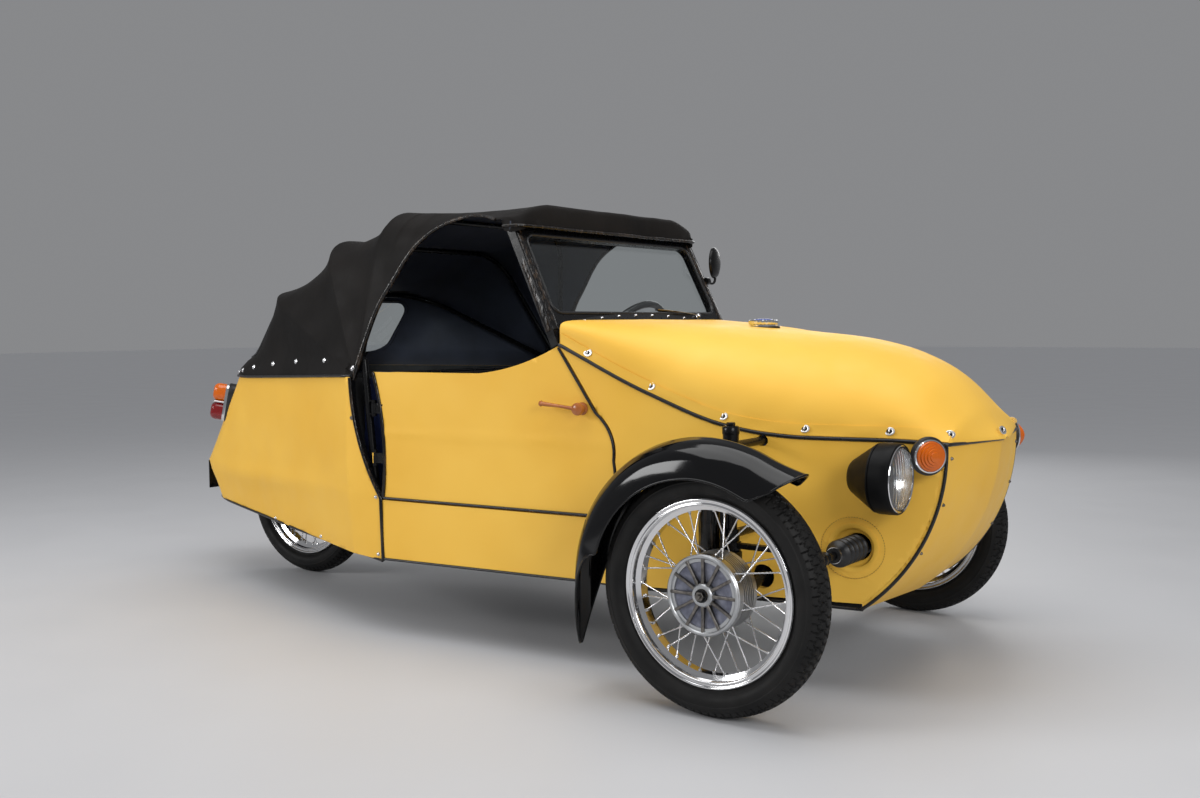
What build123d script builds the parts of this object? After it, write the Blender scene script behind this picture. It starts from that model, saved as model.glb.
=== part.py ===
"""Three wheeled car: a light microcar with two steered front wheels and one driven rear wheel.
A welded tube frame carries stretched leatherette panels, a bonnet, two rear-hinged doors and a soft top.
Every length is in millimetres. While a piece is made, x is measured forward from the front axle,
y is to the car's left and z is up from the ground. The last step moves all of it so that the origin
is under the middle of the car."""

import os
from math import asin, atan2, cos, degrees, hypot, pi, radians, sin, sqrt, tan

from build123d import *

# Overall layout
wheelbase = 2060.0
track = 1250.0
nose_x = 470.0
tail_overhang = 390.0
tail_x = wheelbase + tail_overhang
plate_bracket_overhang = 45.0
front_axle_x = (tail_x + plate_bracket_overhang - nose_x) / 2

# Wheels
tyre_radius = 288.0
tyre_width = 94.0
rim_flange_radius = 218.0
rim_seat_radius = 203.0
rim_well_radius = 192.0
rim_width = 64.0
hub_radius = 92.0
hub_width = 92.0
hub_fin_count = 6
hub_fin_span = 48.0
hub_fin_depth = 3.0
axle_radius = 10.0
spoke_count = 36
spoke_radius = 1.8
rim_sheet = 2.5

# Body side seen from above: nose corner, knee behind the front wheel, and widest point at the door hinge
nose_corner = (417.0, 261.0)
knee = (-400.0, 445.0)
hip = (-1300.0, 525.0)
knee_bend = 500.0
wall = 20.0
door_thickness = 28.0
bonnet_wall = 12.0
nose_wall = 14.0

# Heights of the body
floor_z = 222.0
floor_thickness = 10.0
door_bottom_z = 402.0
waist_z = 750.0
crease_z = 415.0
cowl_x = -560.0
cowl_side_z = 848.0
cowl_top_z = 918.0

# Bonnet sections: x, height of the seam at the side, height of the crown, straight side, corner radius
bonnet_stations = [
    (cowl_x, cowl_side_z, cowl_top_z, 20.0, 28.0),
    (-315.0, 738.0, 903.0, 20.0, 112.0),
    (-100.0, 640.0, 881.0, 15.0, 172.0),
    (80.0, 622.0, 863.0, 12.0, 165.0),
    (250.0, 622.0, 822.0, 10.0, 135.0),
    (nose_corner[0], 617.0, 728.0, 8.0, 70.0),
]
nose_tip_stations = [(450.0, 614.0, 690.0, 6.0, 46.0), (nose_x, 611.0, 645.0, 15.0, 12.0)]

# Tail outlines: height, half-width at the hip, x of the tail, half-width there, corner radius
tail_levels = [
    (190.0, 500.0, tail_x - 120.0, 200.0, 190.0),
    (crease_z, 530.0, tail_x, 200.0, 200.0),
    (waist_z, 525.0, tail_x - 265.0, 270.0, 260.0),
]

# Door and the gap behind it
door_gap = 6.0
door_front_gap = 8.0
hinge_axis = (-1205.0, 505.0)
hinge_pin_radius = 5.0
hinge_heights = (515.0, 660.0)
hinge_half = 15.0

# Windscreen
rake = 26.0
screen_half = 465.0
screen_top_half = 458.0
screen_height = 352.0
screen_thickness = 24.0
glass_thickness = 5.0

# Soft top: a fan of bows about a line across the car at the hip
hood_wall = 5.0
hood_gap = 2.0
pivot_x = -1280.0
# Angle above the rearward horizontal, half-width at the pivot, half-width at the top, reach, corner radius
hood_bow_table = [
    (0.0, 523.0, 270.0, tail_levels[2][2] + pivot_x, 255.0),
    (25.3, 519.0, 380.0, 620.0, 190.0),
    (61.5, 515.0, 420.0, 472.0, 150.0),
    (97.0, 511.0, 440.0, 490.0, 130.0),
    (140.0, 507.0, 462.0, 742.0, 45.0),
]
bow_tube_radius = 8.0

# Front suspension and steering
kingpin_inset = 110.0
kingpin = (-15.0, track / 2 - kingpin_inset)
kingpin_radius = 15.0
sleeve_radius = 24.0
sleeve_z = (244.0, 386.0)
running_gap = 0.05
seat_gap = 0.3
foot_z = 220.0
low_arm_inner_z = 300.0
collar_z = 403.0
top_arm_z = 612.0
pillar_top_z = 660.0
tower_y = 270.0
spring_offset = (-52.0, 10.0)
spring_radius = 24.0
steering_arm = 225.0
steering_arm_z = (372.0, 384.0)
rack_z = 362.0
rack_x = kingpin[0] + steering_arm
rack_rod_radius = 9.0

# Fender: a half tube bent round a centre a little behind the hub
fender_centre = (-18.0, 284.0)
fender_crown_radius = 355.0
fender_mid_y = track / 2 + 2.5
fender_half_width = 72.0
fender_sheet = 3.0

# Lamps
headlamp_centre = (345.0, 378.0, 543.0)
headlamp_radius = 88.0
headlamp_depth = 125.0


# Helpers


def polygon_xz(points, y_low, y_high):
    """A prism with an outline given as x, z points, between two values of y."""
    face = make_face(Polyline(*points, close=True))
    plane = Plane(origin=(0, y_high, 0), x_dir=(1, 0, 0), z_dir=(0, -1, 0))
    return extrude(plane * face, y_high - y_low)


def outline_xz(edges, y_low, y_high):
    """The same from ready edges drawn in a flat plane as x, z."""
    face = make_face(edges)
    plane = Plane(origin=(0, y_high, 0), x_dir=(1, 0, 0), z_dir=(0, -1, 0))
    return extrude(plane * face, y_high - y_low)


def rod(start, end, radius):
    """A round bar between two points."""
    a, b = Vector(*start), Vector(*end)
    plane = Plane(origin=a, z_dir=b - a)
    return extrude(plane * Circle(radius), (b - a).length)


def box_between(low, high):
    """A block from its lowest to its highest corner."""
    size = [h - l for l, h in zip(low, high)]
    middle = [(h + l) / 2 for l, h in zip(low, high)]
    return Pos(*middle) * Box(*size)


def mirrored(shape):
    """The same piece on the other side of the car."""
    return mirror(shape, about=Plane.XZ)


def side_points(inset, front_x, rear_x):
    """Three points of the left body side seen from above, moved inward by the inset."""
    ax, ay = nose_corner[0] - knee[0], nose_corner[1] - knee[1]
    bx, by = knee[0] - hip[0], knee[1] - hip[1]
    na = Vector(-ay, ax).normalized()
    nb = Vector(-by, bx).normalized()
    bend = (na + nb) * (1 / (1 + na.dot(nb)))
    middle = Vector(*knee) - bend * inset

    def along(x, dx, dy):
        return (x, middle.Y + (x - middle.X) * dy / dx)

    return along(front_x, ax, ay), (middle.X, middle.Y), along(rear_x, bx, by)


def side_strip(outer_inset, inner_inset, z_low, z_high, front_x, rear_x):
    """A standing wall that follows the left body side between two insets."""
    outer = side_points(outer_inset, front_x, rear_x)
    inner = side_points(inner_inset, front_x, rear_x)
    outer_line = FilletPolyline(*outer, radius=knee_bend - outer_inset)
    inner_line = FilletPolyline(*inner, radius=knee_bend - inner_inset)
    ends = [Line(outer[0], inner[0]), Line(outer[2], inner[2])]
    face = make_face(outer_line.edges() + inner_line.edges() + [e.edge() for e in ends])
    return extrude(Pos(0, 0, z_low) * face, z_high - z_low)


def half_width(x, inset=0.0):
    """Half-width of the body side at a station, without the knee's bend."""
    front, middle, rear = side_points(inset, nose_corner[0], hip[0])
    a, b = (front, middle) if x > middle[0] else (middle, rear)
    return a[1] + (x - a[0]) * (b[1] - a[1]) / (b[0] - a[0])


def both(shape):
    """A left piece and its mirrored twin as one node."""
    return [shape, mirrored(shape)]


# Outlines that several panels share


def nose_curve(shift_x, inset):
    """The front panel's outline seen from the side, as three points of an arc."""
    return (
        (nose_corner[0] + shift_x - inset, 616.0 - shift_x / 7),
        (364.0 + shift_x * 0.75 - inset * 0.85, 375.0 + inset * 0.4),
        (227.0 + shift_x * 0.6 - inset * 0.1, 212.0 + inset),
    )


def seam_edges(lift):
    """The seam under the bonnet as x, z points from the screen to the nose."""
    return [(station[0], station[1] + lift) for station in bonnet_stations]


def door_outline(grow):
    """The door seen from the side. Grow moves its front, rear and lower edges outward."""
    front = [(-568 + grow, 842.0), (-452 + grow, 668.0), (-402 + grow, 545.0)]
    low_front = (-452 + grow, door_bottom_z - grow)
    rear_low = (-1167 - grow, door_bottom_z - grow)
    rear_high = (-1197 - grow, 766.0)
    top_z = 766.0 if grow == 0 else 900.0
    edges = [
        Line(front[0], front[1]),
        ThreePointArc(front[1], (-405 + grow, 600.0), front[2]),
        ThreePointArc(front[2], (-404 + grow, 470.0), low_front),
        Line(low_front, rear_low),
        ThreePointArc(rear_low, (-1161 - grow, 580.0), rear_high),
    ]
    if grow == 0:
        edges += [
            Line(rear_high, (-840.0, top_z)),
            ThreePointArc((-840.0, top_z), (-700.0, 790.0), front[0]),
        ]
    else:
        edges += [
            Line(rear_high, (-1197 - grow, top_z)),
            Line((-1197 - grow, top_z), (-568 + grow, top_z)),
            Line((-568 + grow, top_z), front[0]),
        ]
    return edges


def rear_cover_edge(shift):
    """The front edge of the rear cover: a bow that leaves an almond gap behind the door."""
    low, middle, high = (-1176 - shift, 400.0), (-1256 - shift, 570.0), (-1285 - shift, waist_z)
    return low, middle, high


# Body panels


def bonnet_section(station, inset, half=None):
    """An arch on the seam: short straight sides, round corners and one long arc over the crown.
    The inset copy goes on down below the seam, to open the shell."""
    x, seam, crown, side, corner = station
    half = (half_width(x) if half is None else half) - inset
    rise = crown - seam - inset
    radius = corner - inset
    drop = -bonnet_wall if inset else 0.0
    corner_y = half - radius
    crown_radius = (corner_y ** 2 + (rise - side) ** 2 - radius ** 2) / (2 * (rise - side - radius))
    share = radius / (crown_radius - radius)
    meet = (corner_y * (1 + share), side + (side - rise + crown_radius) * share)
    swing = atan2(meet[1] - side, meet[0] - corner_y) / 2
    bulge = (corner_y + radius * cos(swing), side + radius * sin(swing))
    edges = [
        Line((half, drop), (half, side)),
        ThreePointArc((half, side), bulge, meet),
        ThreePointArc(meet, (0, rise), (-meet[0], meet[1])),
        ThreePointArc((-meet[0], meet[1]), (-bulge[0], bulge[1]), (-half, side)),
        Line((-half, side), (-half, drop)),
        Line((-half, drop), (half, drop)),
    ]
    plane = Plane(origin=(x, 0, seam), x_dir=(0, 1, 0), z_dir=(1, 0, 0))
    return plane * make_face([e.edge() for e in edges])


def bonnet_solid(inset):
    """The whole form of the bonnet from the screen to the tip of the nose."""
    main = loft([bonnet_section(station, inset) for station in bonnet_stations])
    tip = []
    blunt = 6.0
    for station in [bonnet_stations[-1], *nose_tip_stations]:
        x, seam, crown, side, corner = station
        half = nose_corner[1] * (nose_x + blunt - x) / (nose_x + blunt - nose_corner[0])
        keep = min(inset, (crown - seam) * 0.4, half * 0.4, corner * 0.6)
        tip.append(bonnet_section(station, keep, half))
    return main, loft(tip, ruled=True)


def make_bonnet():
    main, tip = bonnet_solid(0)
    inner, inner_tip = bonnet_solid(bonnet_wall)
    shell = main - inner
    cap = tip - Pos(-bonnet_wall, 0, 0) * inner_tip
    mouth = cylinder_up((fuel_cap_x, 0), fuel_neck_radius + 0.6, 700, 1000)
    return (shell + cap) - mouth


def cylinder_up(centre, radius, z_low, z_high):
    return Pos(centre[0], centre[1], (z_low + z_high) / 2) * Cylinder(radius, z_high - z_low)


fuel_cap_x = -200.0
fuel_neck_radius = 30.0
steering_hole_x = rack_x + 15.0
steering_hole_radius = 49.0


def make_side_panel(main_bonnet):
    """Left side: from the screen pillar and the door's front edge to the nose, with the sill."""
    strip = side_strip(0, wall, 150, 900, nose_corner[0] + 40, -1400)
    curve = nose_curve(0, nose_wall + 0.2)
    edges = [
        Line((cowl_x - 40, 900.0), (curve[0][0], 900.0)),
        Line((curve[0][0], 900.0), curve[0]),
        ThreePointArc(*curve),
        Line(curve[2], (-480.0, 225.0)),
        Line((-480.0, 225.0), (-1168.0, floor_z)),
        Line((-1168.0, floor_z), (-1172.0, door_bottom_z - door_gap)),
        Line((-1172.0, door_bottom_z - door_gap), (-1172.0, 900.0)),
        Line((-1172.0, 900.0), (cowl_x - 40, 900.0)),
    ]
    panel = strip & outline_xz([e.edge() for e in edges], 0, 700)
    panel -= outline_xz([e.edge() for e in door_outline(door_front_gap)], 0, 700)
    above = [(cowl_x, 1200.0)] + seam_edges(0) + [(nose_corner[0] + 80, 1200.0)]
    above[-2] = (nose_corner[0] + 80, 616.0)
    panel -= polygon_xz(above, 0, 700)
    panel -= main_bonnet
    panel -= polygon_xz([(-562, 840), (-562, 1000), (-700, 1000), (-700, 840)], 0, 700)
    holes = [
        (steering_hole_x, rack_z + 6, steering_hole_radius),
        (kingpin[0], 275, 30),
        (kingpin[0], collar_z, 17),
        (kingpin[0], top_arm_z, 14),
    ]
    for x, z, radius in holes:
        panel -= rod((x, 100, z), (x, 500, z), radius)
    return largest(panel)


def largest(shape):
    """The biggest solid of a cut piece."""
    return max(shape.solids(), key=lambda s: s.volume)


nose_ridge = 42.0
nose_reach_y = nose_corner[1] + 60.0


def make_front_panel():
    """The nose: a stretched sheet with a soft ridge down its middle, as wide as the sides everywhere."""
    sections = []
    rows = ((-nose_reach_y, 0.0), (-nose_corner[1], 0.0), (0.0, nose_ridge), (nose_corner[1], 0.0), (nose_reach_y, 0.0))
    for y, shift in rows:
        outer, inner = nose_curve(shift, 0), nose_curve(shift, nose_wall)
        edges = [
            ThreePointArc(*outer),
            Line(outer[2], inner[2]),
            ThreePointArc(*inner),
            Line(inner[0], outer[0]),
        ]
        plane = Plane(origin=(0, y, 0), x_dir=(1, 0, 0), z_dir=(0, -1, 0))
        sections.append(plane * make_face([e.edge() for e in edges]))
    front_x, rear_x = nose_corner[0] + 100, 0.0
    half = [(front_x, half_width(front_x)), (rear_x, half_width(rear_x))]
    between_sides = make_face(Polyline(*half, *[(x, -y) for x, y in reversed(half)], half[0]))
    return loft(sections, ruled=True) & extrude(between_sides, 900)


def tail_face(level, inset, z):
    """The plan outline of the tail at one height."""
    _, hip_half, end, end_half, corner = level
    start = (-1150.0, half_width(-1150.0) - inset)
    middle = (hip[0], hip_half - inset)
    last = (-end + inset, end_half - inset * 0.3)
    left = [start, middle, last]
    right = [(x, -y) for x, y in reversed(left)]
    line = FilletPolyline(*left, *right, radius=[0, corner - inset, corner - inset, 0])
    close = Line(right[-1], left[0])
    return Pos(0, 0, z) * make_face(line.edges() + [close.edge()])


def tail_solid(inset, levels):
    return loft([tail_face(level, inset, z) for level, z in levels], ruled=True)


def make_rear_body():
    heights = [level[0] for level in tail_levels]
    outer = tail_solid(0, list(zip(tail_levels, heights)))
    inner = tail_solid(wall, list(zip(tail_levels, [heights[0], heights[1], heights[2]])))
    cover = outer - inner
    low, middle, high = rear_cover_edge(0)
    front = [
        Line((-1000.0, 100.0), (-1170.0, 100.0)),
        Line((-1170.0, 100.0), low),
        ThreePointArc(low, middle, high),
        Line(high, (-1285.0, 900.0)),
        Line((-1285.0, 900.0), (-1000.0, 900.0)),
        Line((-1000.0, 900.0), (-1000.0, 100.0)),
    ]
    cover -= outline_xz([e.edge() for e in front], -700, 700)
    behind = -tail_x - 150
    rise = [(-1100, 150), (behind, 150), (behind, 300), (-1150, floor_z - 8)]
    cover -= polygon_xz(rise, -700, 700)
    return cover


def make_floor():
    """Flat floor between the sills, the leaning bulkhead behind the seat and the shelf behind it."""
    inset = wall + 2
    front, middle, rear = side_points(inset, 205.0, -1150.0)
    back = (-1240.0, floor_rear_half)
    half = [front, middle, rear, back]
    points = half + [(x, -y) for x, y in reversed(half)]
    floor = extrude(Pos(0, 0, floor_z) * make_face(Polyline(*points, close=True)), floor_thickness)
    low, high = (bulkhead_low_x, floor_z), (bulkhead_low_x - bulkhead_lean, waist_z - 8)
    sheet = [low, high, (high[0] - 12, high[1]), (low[0] - 12, low[1])]
    back_x = bulkhead_low_x - bulkhead_lean * (shelf_z - floor_z) / (waist_z - 8 - floor_z)
    half = [(back_x - 6, 470.0), (shelf_rear_x, 360.0)]
    outline = Polyline(*half, *[(x, -y) for x, y in reversed(half)], close=True)
    shelf = extrude(Pos(0, 0, shelf_z) * make_face(outline), shelf_thickness)
    return floor + polygon_xz(sheet, -floor_rear_half, floor_rear_half) + shelf


def make_door():
    """Left door: one padded slab, its opening cut low, with two hinge eyes at the rear."""
    strip = side_strip(1, 1 + door_thickness, 150, 950, nose_corner[0], -1400)
    slab = largest(strip & outline_xz([e.edge() for e in door_outline(0)], 0, 700))
    x, y = hinge_axis
    for z in hinge_heights:
        eye = cylinder_up((x, y), hinge_pin_radius + 4, z - hinge_half, z + hinge_half)
        strap = box_between((x, y - 4, z - hinge_half), (x + 60, y + 3, z + hinge_half))
        slab = slab + eye + strap
        slab = slab - cylinder_up((x, y), hinge_pin_radius + 0.1, z - 40, z + 40)
    return slab


floor_rear_half = 476.0
bulkhead_low_x = -1228.0
bulkhead_lean = 110.0
shelf_z = 552.0
shelf_thickness = 8.0
shelf_rear_x = -1740.0

# Frame


def make_chassis():
    """Ladder of tubes under the floor, with the rear subframe that holds the fork and the springs."""
    radius = 16.0
    z = floor_z - radius - seat_gap
    rail_y, front_y = 330.0, 215.0
    frame = None
    for side in (1, -1):
        bends = [(190, side * front_y, z), (-400, side * rail_y, z), (-1500, side * rail_y, z)]
        path = FilletPolyline(*bends, radius=300)
        rail = sweep(Plane(origin=path @ 0, z_dir=path % 0) * Circle(radius), path=path)
        frame = rail if frame is None else frame + rail
    for x, half in ((170.0, front_y), (-430.0, rail_y), (-1000.0, rail_y), (-1480.0, rail_y)):
        frame = frame + rod((x, -half, z), (x, half, z), radius - 3)
    frame = frame + rod((spring_top[0], -280, spring_top[1]), (spring_top[0], 280, spring_top[1]), 14)
    for side in (1, -1):
        frame = frame + rod((-1480, side * 290, z), (spring_top[0], side * 262, spring_top[1]), 12)
        low, high = side * 300 - 5, side * 300 + 5
        lug = box_between((fork_pivot[0] - 24, low, z), (fork_pivot[0] + 24, high, fork_pivot[1] + 26))
        frame = frame + lug + box_between((fork_pivot[0] - 24, low, z - 12), (-1480, high, z + 12))
    x, z = fork_pivot
    return frame - rod((x, -400, z), (x, 400, z), fork_tube_radius + seat_gap)


fork_pivot = (-1520.0, 282.0)
fork_tube_radius = 17.0
spring_top = (135.0 - wheelbase, 640.0)


# Windscreen


def screen_plane():
    r = radians(rake)
    return Plane(origin=(cowl_x, 0, cowl_side_z), x_dir=(0, 1, 0), z_dir=(cos(r), 0, sin(r)))


def screen_window():
    """Outline of the glass opening in the plane of the screen."""
    low, high = 92.0, 332.0
    points = [(-428, low), (428, low), (420, high), (-420, high)]
    face = make_face(Polyline(*points, close=True))
    return fillet(face.vertices(), 34)


def make_screen_frame():
    outer = [
        Line((-screen_half, 0), (-screen_top_half, screen_height)),
        Line((-screen_top_half, screen_height), (screen_top_half, screen_height)),
        Line((screen_top_half, screen_height), (screen_half, 0)),
        Line((screen_half, 0), (screen_half - 30, 46)),
        ThreePointArc((screen_half - 30, 46), (0, 80), (-screen_half + 30, 46)),
        Line((-screen_half + 30, 46), (-screen_half, 0)),
    ]
    face = make_face([e.edge() for e in outer]) - screen_window()
    return extrude(screen_plane() * face, -screen_thickness)


def make_glass():
    face = offset(screen_window(), -0.3)
    deep = screen_thickness / 2 - glass_thickness / 2
    pane = extrude(screen_plane() * face, -glass_thickness)
    r = radians(rake)
    return Pos(-deep * cos(r), 0, -deep * sin(r)) * pane


# Soft top


def hood_face(row, inset):
    angle, pivot_half, top_half, reach, corner = row
    base = 24.0 if inset == 0 else 12.0
    points = [
        (pivot_half - inset, base),
        (top_half - inset, reach - inset),
        (-top_half + inset, reach - inset),
        (-pivot_half + inset, base),
    ]
    line = FilletPolyline(*points, radius=corner - inset)
    close = Line(points[-1], points[0])
    face = make_face(line.edges() + [close.edge()])
    a = radians(angle)
    plane = Plane(
        origin=(pivot_x, 0, waist_z + hood_gap),
        x_dir=(0, 1, 0),
        z_dir=Vector(0, 1, 0).cross(Vector(-cos(a), 0, sin(a))),
    )
    return plane * face


def hood_solid(inset):
    return loft([hood_face(row, inset) for row in hood_bow_table], ruled=True)


def door_opening():
    """What the soft top leaves open above the door: its hem runs from the screen to the hip."""
    hem = [(-690, 1150), (-858, 1202), (-1017, 1165), (-1158, 1025), (-1262, waist_z)]
    edges = [
        ThreePointArc(hem[0], hem[1], hem[2]),
        ThreePointArc(hem[2], hem[3], hem[4]),
        Line(hem[4], (hem[4][0], 600)),
        Line((hem[4][0], 600), (-400, 600)),
        Line((-400, 600), (-400, hem[0][1])),
        Line((-400, hem[0][1]), hem[0]),
    ]
    return [outline_xz([e.edge() for e in edges], y, y + 300) for y in (360, -660)]


def make_hood():
    outer, inner = hood_solid(0), hood_solid(hood_wall)
    skin = outer - inner
    for cut in door_opening():
        skin -= cut
    skin -= rear_window_cut(0)
    header = [(-686, 1167), (-702, 1228), (-735, 1232), (-735, 1167)]
    return largest(skin) + polygon_xz(header, -screen_top_half, screen_top_half)


rear_window_front = 1800.0


def rear_window_cut(inset):
    """A prism along x with the outline of the rear window."""
    half, low, high = 300 - inset, 800 + inset, 985 - inset
    outline = Polyline((-half, low), (half, low), (half, high), (-half, high), close=True)
    face = fillet(make_face(outline).vertices(), 45)
    plane = Plane(origin=(50 - tail_x, 0, 0), x_dir=(0, 1, 0), z_dir=(1, 0, 0))
    return extrude(plane * face, tail_x - 50 - rear_window_front)


def make_rear_window():
    outer, inner = hood_solid(1.0), hood_solid(4.0)
    return largest((outer - inner) & rear_window_cut(0.3))


def make_bows():
    """Three hoops of tube, the plates that carry them and the door pillars with the hinge pins."""
    inset = hood_wall + bow_tube_radius + 3
    result = None
    for side in (1, -1):
        plate = Pos(pivot_x - 18, side * plate_y, waist_z + 46) * Rot(90, 0, 0) * Cylinder(36, 16)
        top = (pillar_x[0], side * pillar_y[0], waist_z + 50)
        middle = (pillar_x[1], side * pillar_y[1], 430)
        low = (pillar_x[2], side * pillar_y[2], floor_z + floor_thickness + 2)
        post = plate + rod(top, middle, pillar_radius) + rod(middle, low, pillar_radius)
        post = post + Pos(*middle) * Sphere(pillar_radius + 0.7)
        for z in hinge_heights:
            x, y = hinge_axis[0], side * hinge_axis[1]
            post = post + cylinder_up((x, y), hinge_pin_radius, z - hinge_half - 9, z + hinge_half + 9)
            share = (z - 430) / (waist_z + 50 - 430)
            at_x = pillar_x[1] + (pillar_x[0] - pillar_x[1]) * share
            at_y = side * (pillar_y[1] + (pillar_y[0] - pillar_y[1]) * share)
            for lug_z in (z - hinge_half - 4.5, z + hinge_half + 4.5):
                post = post + cylinder_up((x, y), 8, lug_z - 4, lug_z + 4)
                post = post + rod((at_x, at_y, lug_z), (x, y, lug_z), 3.2)
        result = post if result is None else result + post
    for angle, pivot_half, top_half, reach, corner in hood_bow_table[1:4]:
        a = radians(angle)
        plane = Plane(
            origin=(pivot_x, 0, waist_z + hood_gap),
            x_dir=(0, 1, 0),
            z_dir=Vector(0, 1, 0).cross(Vector(-cos(a), 0, sin(a))),
        )
        points = [
            (plate_y, 48),
            (top_half - inset, reach - inset),
            (-top_half + inset, reach - inset),
            (-plate_y, 48),
        ]
        path = plane * FilletPolyline(*points, radius=corner - inset)
        profile = Plane(origin=path @ 0, z_dir=path % 0) * Circle(bow_tube_radius)
        result = result + sweep(profile, path=path)
    return result


plate_y = 486.0


pillar_radius = 11.0
pillar_x = (-1262.0, -1222.0, -1212.0)
pillar_y = (486.0, 486.0, 462.0)


# Inside


def make_seat_cushion():
    shape = box_between((-1180, -440, 330), (-730, 440, 440))
    return fillet(shape.edges(), 30)


def make_seat_back():
    lean = Plane(origin=(-1196.5, 0, 446), x_dir=(0, 1, 0), z_dir=(cos(radians(12)), 0, sin(radians(12))))
    face = RectangleRounded(900, 330, 45)
    return extrude(lean * (Pos(0, 165) * face), -76)


def make_seat_base():
    return box_between((-1170, -420, floor_z + floor_thickness), (-740, 420, 329.7))


def make_dashboard():
    """Flat board across the car below the screen, rounded to follow the bonnet."""
    half = half_width(-590) - door_thickness - 9
    face = make_face([e.edge() for e in (
        Line((-half, 700), (half, 700)),
        Line((half, 700), (half, 835)),
        ThreePointArc((half, 835), (0, 886), (-half, 835)),
        Line((-half, 835), (-half, 700)),
    )])
    plane = Plane(origin=(-604, 0, 0), x_dir=(0, 1, 0), z_dir=(1, 0, 0))
    board = extrude(plane * face, 16)
    return board - rod(column_point(60), column_point(360), column_radius + 0.6)


column_radius = 16.0
shaft_radius = 8.0
column_y = 215.0
column_top = (-809.0, 815.0)
column_angle = 33.0
wheel_rim_radius = 175.0
wheel_grip_radius = 11.0


def column_point(distance):
    """A point on the steering column, measured down from the hub of the steering wheel."""
    a = radians(column_angle)
    return (column_top[0] + distance * cos(a), column_y, column_top[1] - distance * sin(a))


def make_steering_wheel():
    plane = Plane(origin=column_point(0), z_dir=Vector(*column_point(1)) - Vector(*column_point(0)))
    rim = plane * Torus(wheel_rim_radius, wheel_grip_radius)
    hub = extrude(plane * Circle(24), 34)
    shape = rim + hub
    for turn in (90, 210, 330):
        a = radians(turn)
        inner = plane.from_local_coords(Vector(15 * cos(a), 15 * sin(a), 16))
        outer = plane.from_local_coords(Vector(wheel_rim_radius * cos(a), wheel_rim_radius * sin(a), 0))
        shape = shape + rod(tuple(inner), tuple(outer), 6)
    return shape + rod(column_point(20), column_point(96), shaft_radius)


def make_column():
    """Column tube down to the rack housing, which runs across the nose between the side panels."""
    start, end = column_point(40), column_point(700)
    tube = rod(start, end, column_radius)
    gap = 0.3
    half = half_width(rack_x) - wall - 30
    housing = rod((rack_x, -half, rack_z), (rack_x, half, rack_z), 19)
    bore = rod((rack_x, -half - 5, rack_z), (rack_x, half + 5, rack_z), rack_rod_radius + gap)
    link = rod(end, (rack_x, column_y, rack_z + 8), 12)
    joint = Pos(*end) * Sphere(17)
    seat_z = floor_z + floor_thickness + seat_gap
    feet = [box_between((rack_x - 20, y - 14, seat_z), (rack_x - 2, y + 14, rack_z)) for y in (130, -130)]
    socket = rod(column_point(30), column_point(100), shaft_radius + running_gap)
    return (tube + joint + link + housing + feet[0] + feet[1]) - bore - socket


# Front axle, knuckles and wheels


def make_front_axle():
    """Kingpin pillars, held by cross arms at three heights, with gaitered spring units behind."""
    x, y = kingpin
    shape = rod((x, -tower_y - 30, low_arm_inner_z), (x, tower_y + 30, low_arm_inner_z), 14)
    for side in (1, -1):
        tower = cylinder_up((x, side * tower_y), 18, floor_z + floor_thickness + seat_gap, top_arm_z + 20)
        low_arm = rod((x, side * (tower_y + 12), low_arm_inner_z), (x, side * y, foot_z), 12)
        top_arm = rod((x, side * tower_y, top_arm_z), (x, side * y, top_arm_z), 10)
        middle_arm = rod((x, side * tower_y, collar_z), (x, side * y, collar_z), 11)
        pillar = cylinder_up((x, side * y), kingpin_radius, foot_z - 20, pillar_top_z)
        foot = cylinder_up((x, side * y), 21, foot_z - 17, foot_z + 13)
        collar = cylinder_up((x, side * y), 21, collar_z - 14, collar_z + 14)
        cap = cylinder_up((x, side * y), 19, top_arm_z - 16, pillar_top_z - 6)
        sx, sy = x + spring_offset[0], side * (y + spring_offset[1])
        spring = cylinder_up((sx, sy), spring_radius, 252, 545)
        eye = cylinder_up((sx, sy), 11, foot_z - 11, 260)
        low_strap = rod((sx, sy, foot_z), (x, side * y, foot_z), 8)
        top_strap = rod((sx, sy, 538), (x - 4, side * y, top_arm_z + 3), 8)
        arms = [tower, low_arm, middle_arm, top_arm]
        for piece in (*arms, pillar, foot, collar, cap, spring, eye, low_strap, top_strap):
            shape = shape + piece
    return shape


def make_knuckle():
    """Left knuckle: a sleeve on the kingpin with the stub axle, the steering arm and the fender stay."""
    x, y = kingpin
    sleeve = cylinder_up((x, y), sleeve_radius, *sleeve_z)
    bore = cylinder_up((x, y), kingpin_radius + running_gap, 0, 900)
    hub_inner, hub_outer = track / 2 - hub_width / 2, track / 2 + hub_width / 2
    stub = rod((0, y + 5, tyre_radius), (0, hub_outer + 14, tyre_radius), axle_radius)
    boss = rod((0, y + 8, tyre_radius), (0, hub_inner - 1, tyre_radius), 22)
    nut = rod((0, hub_outer + 0.5, tyre_radius), (0, hub_outer + 11, tyre_radius), 15)
    web = box_between((x - 12, y, tyre_radius - 20), (x + 30, y + 38, sleeve_z[1] - 20))
    arm = box_between((x, y - 9, steering_arm_z[0]), (x + steering_arm + 12, y + 9, steering_arm_z[1]))
    stay_x, stay_y = x - 4, y + 33
    stay = rod((stay_x, stay_y, 350), (stay_x, stay_y, 610), 6)
    grip = rod((stay_x, stay_y, 602), (stay_x, fender_inner_y(597.5) - seat_gap, 602), 4.5)
    shape = sleeve + boss + web + arm + stay + grip + nut + stub
    return shape - bore


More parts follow.
